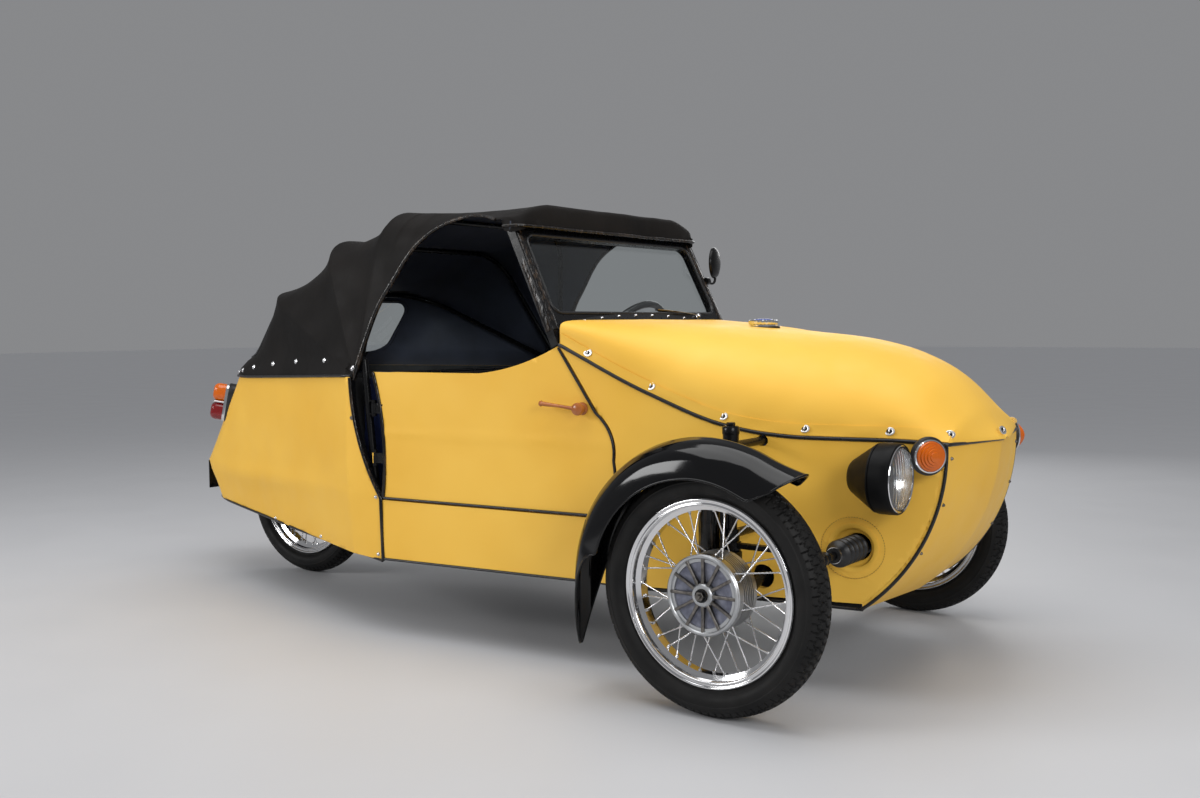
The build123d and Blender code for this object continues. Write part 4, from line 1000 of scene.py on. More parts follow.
def arc_points(a, via, b, count=16):
    """Points on the arc through three x, z pairs."""
    (ax, az), (mx, mz), (bx, bz) = a, via, b
    d = 2 * (ax * (mz - bz) + mx * (bz - az) + bx * (az - mz))
    ra, rm, rb = ax * ax + az * az, mx * mx + mz * mz, bx * bx + bz * bz
    cx = (ra * (mz - bz) + rm * (bz - az) + rb * (az - mz)) / d
    cz = (ra * (bx - mx) + rm * (ax - bx) + rb * (mx - ax)) / d
    r = hypot(ax - cx, az - cz)
    start, middle, end = [atan2(z - cz, x - cx) for x, z in (a, via, b)]
    sweep = (end - start) % (2 * pi)
    if (middle - start) % (2 * pi) > sweep:
        sweep -= 2 * pi
    turns = [start + sweep * k / count for k in range(count + 1)]
    return [(cx + r * cos(turn), cz + r * sin(turn)) for turn in turns]


def rounded(corners, radius, steps=6):
    """A closed outline with rounded corners, as pairs."""
    out = []
    pts = [Vector((*c, 0)) for c in corners]
    for i, c in enumerate(pts):
        u, v = (pts[i - 1] - c).normalized(), (pts[(i + 1) % len(pts)] - c).normalized()
        half = u.angle(v) / 2
        centre = c + (u + v).normalized() * (radius / sin(half))
        start = (c + u * (radius / tan(half)) - centre).normalized()
        end = (c + v * (radius / tan(half)) - centre).normalized()
        out += [centre + start.slerp(end, k / steps).normalized() * radius for k in range(steps + 1)]
    return [(p.x, p.y) for p in out]


def box_outline(x0, y0, x1, y1):
    return [(x0, y0), (x1, y0), (x1, y1), (x0, y1)]


def side_line(points, side, out):
    """Points on a body side from x, z pairs."""
    return [P(x, side * (side_y(x) + out), z) for x, z in points]


# Piping, screws and the gap behind the door

nose_edge = ((417, 616), (364, 375), (227, 212))
door_bottom = 402
door_edge = [(-565, 838), (-452, 668)] + arc_points((-452, 668), (-405, 600), (-402, 545))[1:]
door_edge += arc_points((-402, 545), (-404, 470), (-452, door_bottom))[1:] + [(-1166, door_bottom)]
tail_bottom_slope = (300 - 214) / 1450
tail_start = -1172


def tail_bottom(x):
    return 214 + (-1150 - x) * tail_bottom_slope


def round_tail(skin, height):
    """A line round the tail at a height that may change with x, from the right side to the left."""
    points = []
    for degrees in range(-90, 91, 4):
        a = radians(degrees)
        out = Vector((-cos(a), sin(a), 0))
        z = height(-1800 - 500 * cos(a))
        for _ in range(3):
            place, _ = skin.hit(P(-1700, 0, z) + out * 1.4, -out)
            z = height(station(place))
        points.append(Vector((place.x, place.y, z * MM)) + out * 0.001)
    return points


def make_piping(rear_skin):
    for side, name in SIDES:
        door = f"door_{name}"
        for label, body, look, step, radius, sides, out, line in (
                ("door_piping", door, "piping", 0.010, 0.0036, 8, 1.0,
                 [(x + 1.5, z - 1.5 if z < 470 else z) for x, z in door_edge]),
                ("door_edge", door, "gathered", 0.010, 0.0055, 8, 0.0,
                 arc_points((-1167, 403), (-1161, 580), (-1197, 764))),
                ("nose_piping", "body", "piping", 0.010, 0.0044, 8, 0.8,
                 [(x - 4, z) for x, z in arc_points(*nose_edge, 24)]),
                ("sill_piping", "body", "piping", 0.012, 0.0038, 8, 0.0,
                 [(228, 212), (-480, 224), (-1166, 221)]),
                ("rear_cover_edge", "body", "gathered", 0.010, 0.0056, 10, 0.5,
                 [(-1170, 216)] + arc_points((-1176, 400), (-1256, 570), (-1285, 748)))):
            strand(f"{label}_{name}", side_line(line, side, out), step, radius, sides, look, body=body)
        rows = [[P(x, side * (452 + 4 * wobble(x, 0, z, 60, 3.0)), z) for z in range(398, 756, 12)]
                for x in range(-1300, -1182, 9)]
        lining = rows_object(rows, "sheet", 60, name=f"gap_lining_{name}")
        dress(thicken(lining, 0.002), "blue")
    start, end = [P(tail_start, s * (side_y(tail_start) + 1), tail_bottom(tail_start)) for s in (-1, 1)]
    strand("tail_piping", [start] + round_tail(rear_skin, tail_bottom) + [end], 0.014, 0.0042, 8, "piping")


def make_screws(rear_skin, nose_skin):
    parts = [stud_on(rear_skin, P(x, side * 800, z), (0, -side, 0), 6.0) for side in (-1, 1)
             for x, z in ((-1194, 401), (-1194, 232), (-1510, 245), (-1834, 262))]
    parts += [stud_on(rear_skin, P(-2700, y, 308), AHEAD, 6.0) for y in (-110, 110)]
    group("cover_screws", parts, "chrome")
    dark = []
    for side in (-1, 1):
        dark.append(stud_on(rear_skin, P(-1279, side * 800, 630), (0, -side, 0), 6.5))
        for x, z in ((425, 582), (398, 473), (356, 356)):
            dark.append(stud_on(nose_skin, P(900, side * (side_y(x) - 12), z), -AHEAD, 4.5))
    group("dark_studs", dark, "dark_steel")


# Screen, wiper, mirror and filler

screen_lean = radians(26)
screen_window = ((-428, 92), (428, 92), (420, 332), (-420, 332))
glass_depth, glass_thickness = -12.0, 4


def S(y, up, out=0.0):
    """A place on the screen: across, up along the glass and out from its frame."""
    x = -560 - up * sin(screen_lean) + out * cos(screen_lean)
    return P(x, y, 848 + up * cos(screen_lean) + out * sin(screen_lean))


screen_out = S(0, 0, 1) - S(0, 0, 0)


def strip_foot(y):
    return 81.0 - 34.0 * (y / 435) ** 2


def make_screen():
    outline = rounded([(y * 1.018, u + (4 if u > 200 else -4)) for y, u in screen_window], 36)
    front = [S(y, u, glass_depth) for y, u in outline]
    shift = S(0, 0, -glass_thickness) - S(0, 0, 0)
    pane = rows_object([front, [p + shift for p in front]], smooth=30, name="screen_pane")
    dress(pane, "glass")
    gasket = [S(y, u, -1.5) for y, u in rounded(screen_window, 34)]
    strand("screen_gasket", gasket, 0.012, 0.0052, 8, "piping", cyclic=True)
    for side, name in SIDES:
        rows = []
        for i in range(66):
            up = 44 + 298 * i / 65
            middle = side * (447.5 - 8.5 * (up - 60) / 280)
            row = []
            for c, s in circle(28):
                fold = 1 + 0.10 * wobble(up * 0.10, 70 * c, 70 * s, 17, side * 4.0)
                fold += 0.03 * wobble(up, 60 * c, 60 * s, 30)
                y, out = signed_power(c, 0.62) * 18.0 * fold, signed_power(s, 0.62) * 14.5 * fold
                row.append(S(middle + y, up, -12 + out))
            rows.append(row)
        dress(rows_object(rows, smooth=70, name=f"post_sleeve_{name}"), "gathered")
    section = ((-12, 0.2), (-12, 2.0), (10.5, 2.4), (10.5, 0.2))
    rows = [[S(y, strip_foot(y) + u, out) for u, out in section] for y in range(-424, 425, 16)]
    dress(rows_object(rows, name="screen_strip"), "piping")
    rivets = [dome_stud(S(y, strip_foot(y) + 3, 2.2), screen_out, 4.4) for y in range(-396, 397, 88)]
    group("screen_rivets", rivets, "chrome")


def make_wiper():
    cap = [(9, 0.3), (9, 6), (7, 8), (7, 13), (5, 15.5), (1, 16)]
    parts = [lathe(cap, S(300, 80), screen_out, 24, "chrome")]
    for look, step, radius, sides, flat, path in (
            ("brass", 0.008, 0.0026, 8, 0.6, ((300, 80, 11), (240, 87, 12), (172, 96, 9), (160, 98, 3))),
            ("brass", 0.008, 0.0022, 8, 1.0, ((100, 106, -3), (130, 103, 1), (195, 97, 2), (236, 93, -3))),
            ("boot", 0.02, 0.0034, 6, 1.0, ((92, 108, -6), (246, 93, -6)))):
        parts.append(tube([S(*p) for p in path], radius, sides, look, step, flat=flat))
    group("wiper_parts", parts, None, replaces="wiper")


def make_mirror():
    head = P(-652, 520, 1100)
    normal = Vector((1, 0.25, 0)).normalized()
    shell = [(3, 12), (18, 11.5), (34, 9), (45, 5), (51, -1), (52, -5), (51, -7.5), (48.5, -7.5), (48, -5),
             (3, -4)]
    glass = [(47.8, -5.4), (47.8, -4.2), (2, -4.2), (2, -5.8), (30, -5.7)]
    path = [P(-652, 520, 1050), P(-652, 514, 1036), P(-653, 496, 1031), P(-654, 470, 1038)]
    clamp = [(2, -12), (11, -12), (12, -10), (12, 6), (10, 9), (2, 9)]
    parts = [lathe(shell, head, normal, 48), lathe(glass, head, normal, 48, "reflector"),
             tube(smooth_path(path), 0.0042, 10, step=0.006), lathe(clamp, path[-1], LEFT, 24)]
    group("mirror_parts", parts, "satin_black", replaces="mirror")


def make_filler():
    centre = P(-200, 0, -4.5)
    gasket = lathe([(34, 888), (45, 888), (46, 890), (46, 894), (44, 896), (34, 896)], centre, UP, 48, "boot")
    cap = lathe([(26, 912), (37, 913), (40, 911), (40.3, 903), (39, 900), (34, 899), (34, 893), (26, 893)],
                centre, UP, 96, "chrome", True)
    for v in cap.data.vertices:
        offset = Vector((v.co.x - centre.x, v.co.y, 0))
        if offset.length > 0.0395:
            v.co += offset.normalized() * 0.0008 * sin(24 * atan2(offset.y, offset.x))
    top = lathe([(26.5, 905), (26.5, 913), (24, 915), (12, 916), (1, 916)], centre, UP, 48, "blue_cap")
    group("filler_parts", [gasket, cap, top], None, replaces="fuel_cap")


# Lamps

lamp_scale = 0.935


def shrink(obj, centre):
    for v in obj.data.vertices:
        v.co = centre + (v.co - centre) * lamp_scale


def make_headlamps():
    centre = P(345, -378, 543)
    shell = [(1, -125), (28, -125), (36, -122.5), (42, -117), (83, -57), (86, -53.5), (86, -50), (84, -49),
             (84, -46.5), (88, -45), (88.5, -20), (88, -1), (86.5, 2.5), (84, 4), (80.5, 4), (80, 0),
             (79, -6), (66, -30), (30, -80), (1, -80)]
    body = lathe(shell, centre, AHEAD, 96, "lamp_black", smooth=28)
    stem = lathe([(2, -1), (20, -1), (20, 3), (14, 5), (13, 58), (2, 58)], P(253, -side_y(253), 543),
                 Vector((-front_slope, -1, 0)).normalized(), 32, "satin_black")
    rim = lathe([(82.5, 4.2), (81, 6), (78, 5), (76.5, 1), (77, -3), (79.5, -4), (80.4, 2)],
                centre, AHEAD, 96, "chrome", True)
    bowl = lathe([(77, -6), (72, -16), (58, -40), (36, -66), (12, -77), (9, -77), (9, -79), (13, -79),
                  (37, -68.5), (59, -42), (73.5, -17), (78.5, -6)], centre, AHEAD, 72, "reflector", True)
    bulb = lathe([(5, -78), (6, -66), (9, -60), (11, -53), (9, -46), (4, -42.5), (1, -42)],
                 centre, AHEAD, 24, "chrome")
    for obj in (body, rim, bowl, bulb):
        shrink(obj, centre)
    right = join("headlamp_right", [body, stem, rim, bowl, bulb])
    mirror_pair(right, "headlamp_left", replaces="headlamp_shells")
    dome = [(78.2 * cos(radians(a)), 11 * sin(radians(a))) for a in range(0, 90, 5)]
    lens = lathe([(78.2, -3)] + dome + [(1, 11)], centre, AHEAD, 120, smooth=60, name="headlamp_lens_right")
    for v in lens.data.vertices:
        across = (v.co.y - centre.y) / MM
        if v.co.x > centre.x + 0.001:
            v.co.x += 0.0011 * abs(sin(across * pi / 13.0)) * min(1.0, (78 - abs(across)) / 10)
    shrink(lens, centre)
    mirror_pair(lens, "headlamp_lens_left", "lamp_glass", "headlamp_lenses")


def make_signals():
    foot = P(382, -305, 592)
    out = Vector((0.75, -0.66, 0)).normalized()
    base = [(1, -30), (24, -30), (31, -14), (38, -2), (43, 1.5), (45, 4), (45, 10), (42, 13), (1, 13)]
    ring = [(39.6, 9), (40, 14), (38.6, 18), (36, 18.5), (35, 15), (35, 9)]
    steps = [(35.3, 10), (35, 20), (33.5, 23), (29.5, 23.4), (28.8, 29), (24.5, 29.6), (23.6, 34), (19, 34.6),
             (18, 38.5), (12.5, 39), (11.5, 42), (5, 43), (1, 43)]
    parts = [lathe(base, foot, out, 64, "boot"), lathe(ring, foot, out, 64, "chrome", True),
             lathe(steps, foot, out, 72, "amber", smooth=25)]
    right = join("signal_right", parts)
    mirror_pair(right, "signal_left", replaces="signal_lamps")


tail_lamp_place = P(-2211.8, 233.6, 628.0)
tail_lamp_out = Vector((-cos(radians(45)), sin(radians(45)), 0.18)).normalized()


def make_tail_lamps():
    """Upright lamps in two colours with a bright strip between them; the right one mirrors the left."""
    across = tail_lamp_out.cross(UP).normalized()
    up = across.cross(tail_lamp_out).normalized()

    def rings(sizes, ends="caps", look="chrome", middle=0.0, smooth=40):
        """A body from rows of half-width, half-height, height and corner radius."""
        rows = []
        for half_w, half_h, height, radius in sizes:
            outline = rounded(box_outline(-half_w, -half_h, half_w, half_h), radius, 8)
            rows.append([tail_lamp_place + (across * a + up * (b + middle) + tail_lamp_out * height) * MM
                         for a, b in outline])
        return rows_object(rows, ends, smooth, look)
    parts = [rings([(31, 70, -32, 29), (31, 70, 8, 29), (29.5, 68.5, 10, 27.5)], look="boot"),
             rings([(29.6, 68.6, 8, 27.5), (30, 69, 14, 28), (28.5, 67.5, 19, 26.5), (26, 65, 19, 24),
                    (26, 65, 8, 24)], "ring")]
    lens = [(26.5 - inset, 31.5 - inset, height, max(24 - inset, 5))
            for height, inset in ((9, 0), (44, 0), (52, 2), (58, 6.5), (61, 12), (62, 17))]
    for look, middle in (("amber", 33.5), ("red", -33.5)):
        parts.append(rings(lens, look=look, middle=middle, smooth=45))
    parts.append(rings([(27, 3.2, 8, 3), (27, 3.2, 50, 3), (24, 2.2, 58, 2)]))
    mirror_pair(join("tail_lamp_left", parts), "tail_lamp_right")


# Fenders, wheels and what stands between them and the body

fender_middle = 627.5
fender_half = 72.0
fender_centre = (-18.0, 284.0)
fender_front, fender_rear = 65.0, 207.0
fender_arc = arc_points((308, -fender_half), (355, 0), (269, fender_half), 28)
fender_section = curve_value([(across, r) for r, across in fender_arc])
fender_reach = 106.0
fender_rise = 0.0009


def fender_point(share, a, t):
    """A point of the fender: share runs across from the inner lip, -1, to the outer lip, 1; a is the angle
    round the wheel, and t the straight run past the front end. Behind the wheel it hangs straight down and
    narrows to a point."""
    cx, cz = fender_centre
    across = share * fender_half
    if a > 165:
        across *= 1 - 0.93 * min(1.0, (a - 165) / (fender_rear - 165)) ** 1.6
    r = fender_section(across) + 2.0 * bell(across / 7) - 1.2 * bell((across - 42) / 7)
    if a > 180:
        return across, cx - r, cz - 355 * radians(a - 180)
    turn = radians(a)
    r += fender_rise * t * t
    return across, cx + r * cos(turn) + t * sin(turn), cz + r * sin(turn) - t * cos(turn)


def make_fender(side, name):
    rows = []
    for i in range(33):
        share = -1 + i / 16
        drop = max(0.0, (355 - fender_section(share * fender_half)) / 86)
        row = [fender_point(share, fender_rear + (fender_front - fender_rear) * k / 76, 0) for k in range(77)]
        reach = fender_reach - 42 * drop - 0.16 * abs(share * fender_half)
        reach -= 190 * max(0.0, drop - 0.78) ** 1.5
        row += [fender_point(share, fender_front, reach * k / 14) for k in range(1, 15)]
        rows.append([P(x, side * (fender_middle + across), z) for across, x, z in row])
    edge = rows[0] + [row[-1] for row in rows[1:-1]] + rows[-1][::-1]
    edge += [row[0] for row in reversed(rows[1:-1])]
    skin = thicken(rows_object(rows, "sheet", 60), 0.0028)
    bead = tube(edge, 0.0030, 8, step=0.009, cyclic=True)
    group(f"fender_shell_{name}", [skin, bead], "gloss_black", f"knuckle_{name}",
          f"fender_{name}")


tread_pitch = 88
groove_depth = 4.4
tread_lines = (-27.0, -9.0, 9.0, 27.0)
tread_edge = 43.0


def tread_cut(turn, y):
    """How deep the tread is cut at a place: wavy grooves round the tyre with cuts between them that stand
    staggered from row to row."""
    phase = turn * tread_pitch / (2 * pi) + 0.05 * sin(turn * 37 + y * 0.21)
    for number, line in enumerate(tread_lines):
        swing = 1 - 4 * abs((phase - 0.5 * ((number + 1) % 2) + 0.5) % 1 - 0.5)
        if abs(y - line - 4.2 * swing) < 1.45:
            return groove_depth
    row = sum(y > line for line in tread_lines)
    if abs(y) > tread_edge:
        return 0.0
    if abs((phase - 0.5 * (row % 2) + 0.012 * y + 0.5) % 1 - 0.5) < 0.075:
        return groove_depth * 0.9
    return 0.0


def tyre_mesh():
    """One tyre about the y axis: ribbed sidewalls and a block tread."""
    half = [(203.5, 27.0), (211, 27.6), (219, 28.5), (224, 31.5), (228, 37.4), (232, 42.0), (237, 45.2),
            (242, 46.7), (249, 47.0), (255, 46.0), (256.4, 46.6), (258, 46.4), (259.4, 45.2), (263, 43.9),
            (268, 42.2)]
    arc = arc_points((270, 41), (288, 0), (270, -41), 52)
    profile = [(r, -w) for r, w in half] + [(r, -y) for r, y in arc] + half[::-1]
    count = 7 * tread_pitch
    rows = []
    for k in range(count):
        turn = 2 * pi * k / count
        row = []
        for r, y in profile:
            if r > 269.5:
                r -= tread_cut(turn, y)
            elif 263 < r and (turn * tread_pitch / (2 * pi) + (0.25 if y > 0 else 0.75)) % 1 < 0.14:
                y *= 0.965
            row.append(Vector((r * cos(turn), y, r * sin(turn))) * MM)
        rows.append(row)
    return rows_object(rows, "ring", 32)


def put_wheel_piece(source, label, look, replaces=None):
    """Copies a piece made about the origin to each wheel. Its outer side looks along minus y before that."""
    for name, x, y, side in (("front_left", FRONT_X, TRACK_Y, 1), ("front_right", FRONT_X, -TRACK_Y, -1),
                             ("rear", REAR_X, 0.0, -1)):
        mesh = mirrored(source) if side > 0 else source.data.copy()
        mesh.transform(Matrix.Translation(Vector((x, y, TYRE_R))))
        obj = add_object(f"{label}_{name}", mesh)
        dress(obj, look, f"wheel_{name}", replaces and f"{replaces}_{name}")
    bpy.data.objects.remove(source)


def make_wheels():
    put_wheel_piece(tyre_mesh(), "tyre_tread", "rubber", "tyre")
    nipples = []
    for i in range(36):
        out = Vector((cos(radians(i * 10)), 0, sin(radians(i * 10))))
        foot = out * 183.5 * MM + Vector((0, (1 if i % 2 else -1) * 4 * MM, 0))
        nipples.append(lathe([(2, 0), (3.2, 0.3), (3.2, 3.5), (4.3, 5), (4.3, 7.5), (2, 8.5)], foot, out, 8))
    put_wheel_piece(join("nipples", nipples), "nipples", "spoke")
    # The rolled edge, the channel beside it and the bead that turns into the well
    flange = [(217.6, 31), (217.9, 33.6), (216.4, 35.4), (214, 35.6), (212.2, 34.3), (211, 32.7),
              (209, 32.35), (207.2, 32.9), (205.8, 34.2), (203.9, 34.6), (202.2, 33.6), (201, 31.5),
              (200.2, 28.5), (204, 30), (212, 30.5)]
    lips = [lathe(flange, (0, 0, 0), (0, side, 0), 144, ring=True, smooth=60) for side in (-1, 1)]
    put_wheel_piece(join("lips", lips), "rim_lips", "chrome")
    # Ring, dish, boss, washer, nut and bolt of the hub's face
    face = []
    for look, segments, ring, smooth, profile in (
            ("alloy", 96, True, 35, [(84, 44), (92, 45), (93, 48.5), (90.5, 51), (86, 51), (83.5, 48.5)]),
            ("dish", 64, True, 35, [(30, 38.5), (83, 43.0), (83, 41.6), (30, 37)]),
            ("alloy", 48, False, 35, [(2, 40), (25, 40), (27, 42), (27, 49), (24, 52), (16, 52), (15, 50.5),
                                      (2, 50.5)]),
            ("brass", 32, False, 35, [(2, 50), (15, 50), (15, 53.5), (14, 54.5), (2, 54.5)]),
            ("dark_steel", 6, False, 20, [(2, 54), (11, 54), (11.4, 55), (11.4, 63), (10.4, 64.5),
                                          (2, 64.5)]),
            ("dark_steel", 20, False, 35, [(2, 64), (6, 64), (6, 70), (5, 71.5), (1, 71.5)])):
        face.append(lathe(profile, (0, 0, 0), -LEFT, segments, look, ring, smooth))
    # Twelve ribs across the dish. Their dark steel is painted shade: it stands in for the shadow that falls
    # along the ribs.
    for k in range(12):
        a = radians(k * 30)
        along, across = Vector((cos(a), 0, sin(a))), Vector((-sin(a), 0, cos(a)))
        rows = []
        for r, half, height in ((24, 4.2, 49), (50, 3.2, 47.5), (86, 3.8, 48.5)):
            rows.append([(along * r + across * w - LEFT * h) * MM for w, h in
                         ((-half, 38), (-half, height), (-half + 1.2, height + 1), (half - 1.2, height + 1),
                          (half, height), (half, 38))])
        face.append(rows_object(rows, smooth=25, look="dark_steel"))
    put_wheel_piece(join("hub_face", face), "hub_face", None)


def make_gaiters():
    """Wrinkled sleeves over the springs, caps on the kingpin pillars."""
    for side, name in SIDES:
        rows = []
        for i in range(96):
            z = 258 + 280 * i / 95
            row = []
            for k, (c, s) in enumerate(circle(32)):
                fold = 1.6 * wobble(90 * c, 90 * s, z * 0.16, 24, side)
                fold += 1.0 * wobble(z, 2 * pi * k / 32 * 30, 0, 18)
                r = 26.2 + fold - (3.0 if z < 266 or z > 530 else 0.0)
                row.append(P(-67 + r * c, side * 525 + r * s, z))
            rows.append(row)
        dress(rows_object(rows, smooth=70, name=f"spring_gaiter_{name}"), "gathered")
        pin = P(-15, side * 515, 0)
        cap = [(15.5, 640), (20, 640), (20.5, 642), (20.5, 655), (18, 659), (9, 660.5), (2, 660.5)]
        nut = [(3, 660), (10, 660), (10.4, 661), (10.4, 666.5), (9, 668), (3, 668)]
        band = [(15.8, 604), (21.6, 604), (21.6, 622), (15.8, 622)]
        parts = [lathe(cap, pin, UP, 40), lathe(nut, pin, UP, 6, smooth=20),
                 lathe(band, pin, UP, 40, ring=True)]
        group(f"pillar_cap_{name}", parts, "satin_black")


rack_x, rack_z = 210, 362
# Radius of the collar, share of the way from the cover to its foot, shift from the opening to the rack
collar_rows = ((60, -0.02, 0), (50.5, -0.02, 0), (48.5, 0.03, 0), (47.5, 0.12, 0.3), (45.5, 0.21, 0.6),
               (41, 0.265, 0.9), (37.5, 0.285, 1), (35.5, 0.30, 1), (35.2, 0.36, 1))


def make_rack_boots():
    """Rack rod with bellows and ball ends, and the dished collars in the cover where it comes out."""
    parts = []
    for side in (-1, 1):
        out = Vector((0, side, 0))
        foot = P(rack_x, 0, rack_z)
        # Only the right boot has a neck and a fifth fold: on the left they would meet the column's joint
        bellows = [(20.5, 320), (27, 320)]
        if side < 0:
            bellows = [(20.5, 262), (23, 262), (23.5, 298), (27, 303), (31, 306), (32.5, 309.5), (30.5, 313),
                       (24.5, 317)]
        for h in (321, 345, 369, 393):
            bellows += [(24, h), (24.5, h + 5), (30.5, h + 9), (32.5, h + 12.5), (30.5, h + 16),
                        (24.5, h + 20)]
        bellows += [(22, 418), (18, 424), (18, 436), (10, 436), (10, 424), (20.5, 416)]
        ball = [(16.5 * cos(radians(a)), 499 + 16.5 * sin(radians(a))) for a in range(-50, 90, 14)]
        parts += [lathe(bellows, foot, out, 44, "boot", True, 60),
                  lathe([(18.2, 426), (19.2, 426), (19.2, 433), (18.2, 433)], foot, out, 32, "chrome", True),
                  lathe([(9, 470), (12, 472), (15, 478)] + ball + [(1, 515)], foot, out, 32, "satin_black",
                        smooth=50)]
    parts.append(tube([P(rack_x, y, rack_z) for y in (-498, 0, 498)], 0.009, 20, "satin_black"))
    group("rack_rod_parts", parts, None, "steering_rod", "tie_rods")
    for side, name in SIDES:
        rows = []
        for r, share, shift in collar_rows:
            row = []
            for c, s in circle(64):
                x, z = collar_place[0] + r * c, collar_place[1] + r * s
                x0, z0 = x + (rack_x - collar_place[0]) * shift, z + (rack_z - collar_place[1]) * shift
                row.append(P(x0, side * ((1 - share) * (side_y(x) + 0.8) + share * 262), z0))
            rows.append(row)
        funnel = rows_object(rows, "open", 70, name=f"boot_collar_{name}")
        dress(thicken(funnel, 0.0022, -side, 70), "yellow")
        stitches = []
        for k in range(72):
            a = 2 * pi * (k + 0.15) / 72
            b = 2 * pi * (k + 0.75) / 72
            ends = [(collar_place[0] + 74 * cos(t), collar_place[1] + 74 * sin(t))
                    for t in (a, (a + b) / 2, b)]
            stitches.append(tube(side_line(ends, side, 2.9), 0.0009, 5))
        group(f"collar_stitches_{name}", stitches, "thread")


# Handles and cabin


def make_handles():
    for side, name in SIDES:
        foot = P(-491, side * side_y(-491), 680)
        out = Vector((0.0887, side, 0)).normalized()
        boss = lathe([(1, 0), (16, 0), (17, 1.5), (16, 3.5), (12.5, 5), (12, 14), (14.5, 17), (16.5, 21),
                      (17, 26), (15.5, 31), (10, 34.5), (1, 35.5)], foot, out, 40, smooth=40)
        tip = P(-598, side * (side_y(-598) + 28), 692)
        start = foot + out * 0.025
        path = [start, start.lerp(tip, 0.5) + Vector((0, side * 0.002, 0.001)), tip]
        lever = tube(path, lambda share: 0.0085 - 0.0022 * sin(pi * min(1, share * 1.15)), 16, step=0.006,
                     flat=0.72)
        end = lathe([(1, -5), (5.5, -4.2), (8.4, 0), (6.6, 5), (1, 7)], tip, tip - start, 20)
        group(f"handle_lever_{name}", [boss, lever, end], "handle", f"door_{name}",
              f"door_handle_{name}")


def soft_block(name, corner, right, up, deep, size, radius):
    """A block with rounded edges made of rings, as a starting shape for a cushion."""
    w, h, d = size
    rows = []
    for share, inset in ((0.0, radius), (0.03, radius * 0.45), (0.12, 0.0), (0.5, 0.0), (0.88, 0.0),
                         (0.97, radius * 0.45), (1.0, radius)):
        outline = rounded(box_outline(inset, inset, w - inset, h - inset), max(radius * 1.6 - inset, 8))
        rows.append([corner + (right * a + up * b + deep * (d * share)) * MM for a, b in outline])
    return rows_object(rows, smooth=60, name=name)


def inflate(obj, cap):
    """Cloth under slight pressure fills the cushion; no point moves further than the cap."""
    modify(obj, "REMESH", mode="VOXEL", voxel_size=0.013)
    start = [v.co.copy() for v in obj.data.vertices]
    cloth = obj.modifiers.new("cloth", "CLOTH")
    cloth.settings.use_pressure = True
    cloth.settings.uniform_pressure_force = 4.0
    cloth.settings.effector_weights.gravity = 0.0
    cloth.settings.quality = 4
    for number in range(1, 21):
        bpy.context.scene.frame_set(number)
    apply_modifiers(obj)
    bpy.context.scene.frame_set(1)
    for v, old in zip(obj.data.vertices, start):
        move = v.co - old
        if move.length > cap:
            v.co = old + move * (cap / move.length)
    modify(obj, "SUBSURF", levels=1, render_levels=1)


back_foot = P(-1196.5, 0, 446)
back_lean = radians(12)
seam_pitch = 110


def make_seats():
    """Cushion and back, each with its seams pressed in and a welt round its edge."""
    up = Vector((-sin(back_lean), 0, cos(back_lean)))
    behind = Vector((-cos(back_lean), 0, -sin(back_lean)))
    cushion = soft_block("seat_cushion_pad", P(-1170, -432, 337), AHEAD, LEFT, UP, (430, 864, 88), 22)
    inflate(cushion, 0.014)
    corner = P(-1196.5, -440, 446) + (behind * 10 + up * 8) * MM
    back = soft_block("seat_back_pad", corner, LEFT, up, behind, (880, 314, 56), 20)
    inflate(back, 0.012)
    for obj, axis in ((cushion, UP), (back, -behind)):
        for v in obj.data.vertices:
            near = (v.co.y / MM + 440) % seam_pitch
            near = min(near, seam_pitch - near)
            if obj is cushion:
                facing = ramp((v.co.z / MM - 400) / 20)
            else:
                facing = 1.0 if (v.co - back_foot).dot(-behind) > 0 else 0.0
            v.co -= axis * MM * 7.0 * bell(near / 6.5) * facing
        tidy_normals(obj, 80)
        dress(obj, "seat")
    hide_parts("seat_cushions")
    welts = [[P(x, y, 426) for x, y in rounded(box_outline(-1171, -432, -739, 432), 34)],
             [back_foot + (Vector((0, y, 0)) + up * u + behind * 13) * MM
              for y, u in rounded(box_outline(-436, 12, 436, 318), 32)]]
    seams = [tube(welt, 0.0045, 8, step=0.012, cyclic=True) for welt in welts]
    group("seat_welts", seams, "piping")


dash_x, dash_z = -604.5, 786


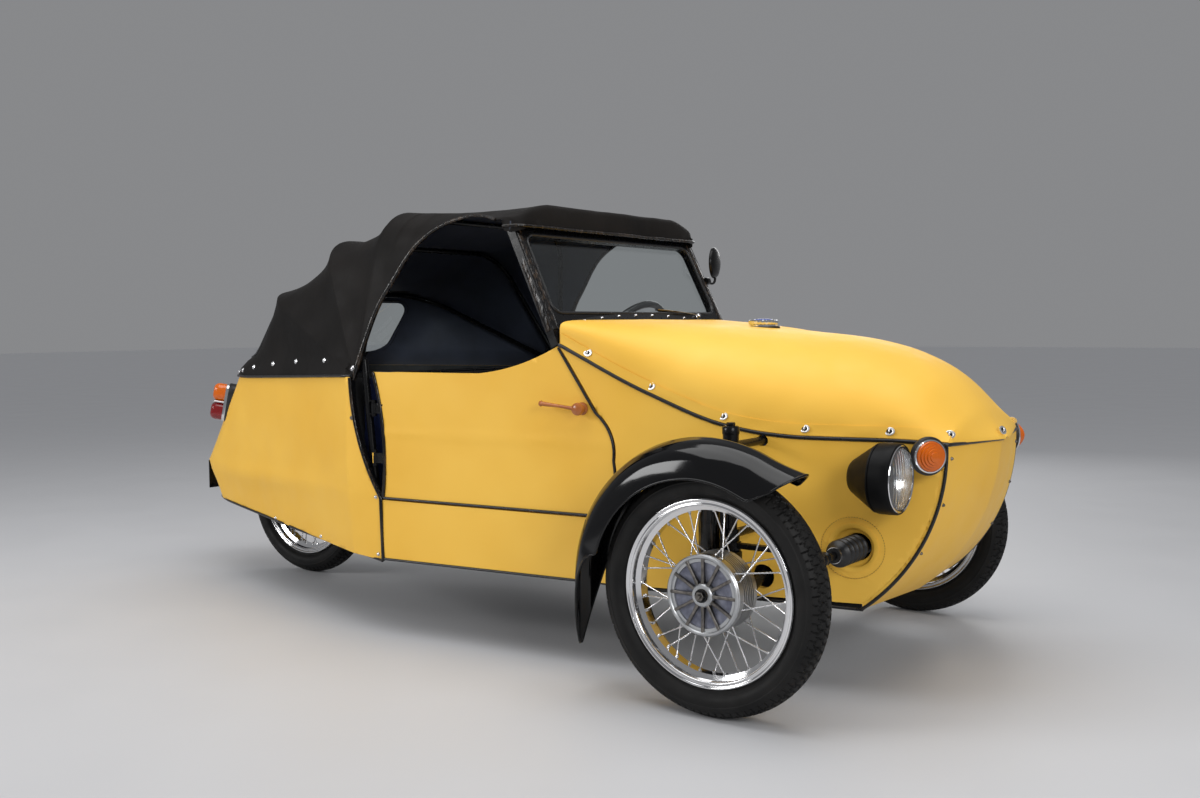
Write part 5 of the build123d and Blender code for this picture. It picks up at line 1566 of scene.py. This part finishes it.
def make_dash_details():
    face = P(dash_x, 215, dash_z)
    back = -AHEAD
    parts = [lathe([(1, 0), (43, 0), (43, 5), (1, 5)], face, back, 64, "satin_black"),
             lathe([(40, 4), (40, 9), (43, 10.5), (46, 8), (46, 0), (43.5, 0)], face, back, 64, "chrome",
                   True)]
    for k in range(25):
        a = radians(-135 + 270 * k / 24)
        d = Vector((0, -sin(a), cos(a)))
        line = [face + back * 0.0056 + d * r * MM for r in (29 if k % 4 == 0 else 33, 37)]
        parts.append(tube(line, 0.0008, 5, "marks"))
    needle = Vector((0, 0.79, -0.61))
    line = [face + back * 0.007 - needle * 0.006, face + back * 0.007 + needle * 0.031]
    parts.append(tube(line, lambda share: 0.0014 - 0.0008 * share, 6, "marks"))
    for y, r in ((110, 11), (60, 11), (10, 9), (-60, 9)):
        knob = [(1, 0), (r * 0.5, 0), (r * 0.5, 9), (r, 11), (r, 19), (r * 0.8, 22), (1, 22.5)]
        parts.append(lathe(knob, P(dash_x, y, dash_z), back, 24, "boot"))
    group("dash_details", parts, None)
    axis = Vector((-cos(radians(33)), 0, sin(radians(33))))
    horn = lathe([(1, 2), (27, 2), (29, 5), (28, 12), (22, 17), (12, 19.5), (1, 20)], P(-809, 215, 815),
                 axis, 40, name="horn_button")
    dress(horn, "boot", "steering_wheel")


cad_looks = {
    "floor": ("floor_pan", "seat_base"),
    "satin_black": ("chassis_frame", "windscreen_frame", "hood_bows", "dashboard", "steering_column",
                    "front_axle", "rear_fork", "plate_bracket", "knuckle_left", "knuckle_right"),
    "boot": ("steering_wheel",),
    "engine": ("engine_block",),
    "dark_steel": ("floor_controls",),
    "chrome": ("rim_front_left", "rim_front_right", "rim_rear"),
    "alloy": ("hub_front_left", "hub_front_right", "hub_rear"),
}


def dress_cad():
    """Materials for the CAD nodes that stay in view."""
    for look, nodes in cad_looks.items():
        for node in nodes:
            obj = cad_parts[node]
            if not obj.material_slots:
                obj.data.materials.append(M[look])
            for slot in obj.material_slots:
                slot.material = M[look]


# Run

make_materials()
make_world()
make_camera()
make_lights()
make_bonnet_cover()
make_bonnet_trim()
make_bonnet_fasteners()
make_side_covers()
make_door_covers()
nose_skin = Skin(make_nose_cover())
rear_skin = Skin(make_rear_cover())
make_hood(rear_skin)
make_piping(rear_skin)
make_screws(rear_skin, nose_skin)
make_screen()
make_wiper()
make_mirror()
make_filler()
make_headlamps()
make_signals()
make_tail_lamps()
for fender_side, fender_name in SIDES:
    make_fender(fender_side, fender_name)
make_wheels()
make_gaiters()
make_rack_boots()
make_handles()
make_seats()
make_dash_details()
dress_cad()

stage_size = 40.0
stage_corners = [(x, y, 0) for x, y in box_outline(-stage_size, -stage_size, stage_size, stage_size)]
new_object("studio_floor", stage_corners, [(0, 1, 2, 3)], look="stage")

bpy.context.scene.view_settings.view_transform = "Standard"
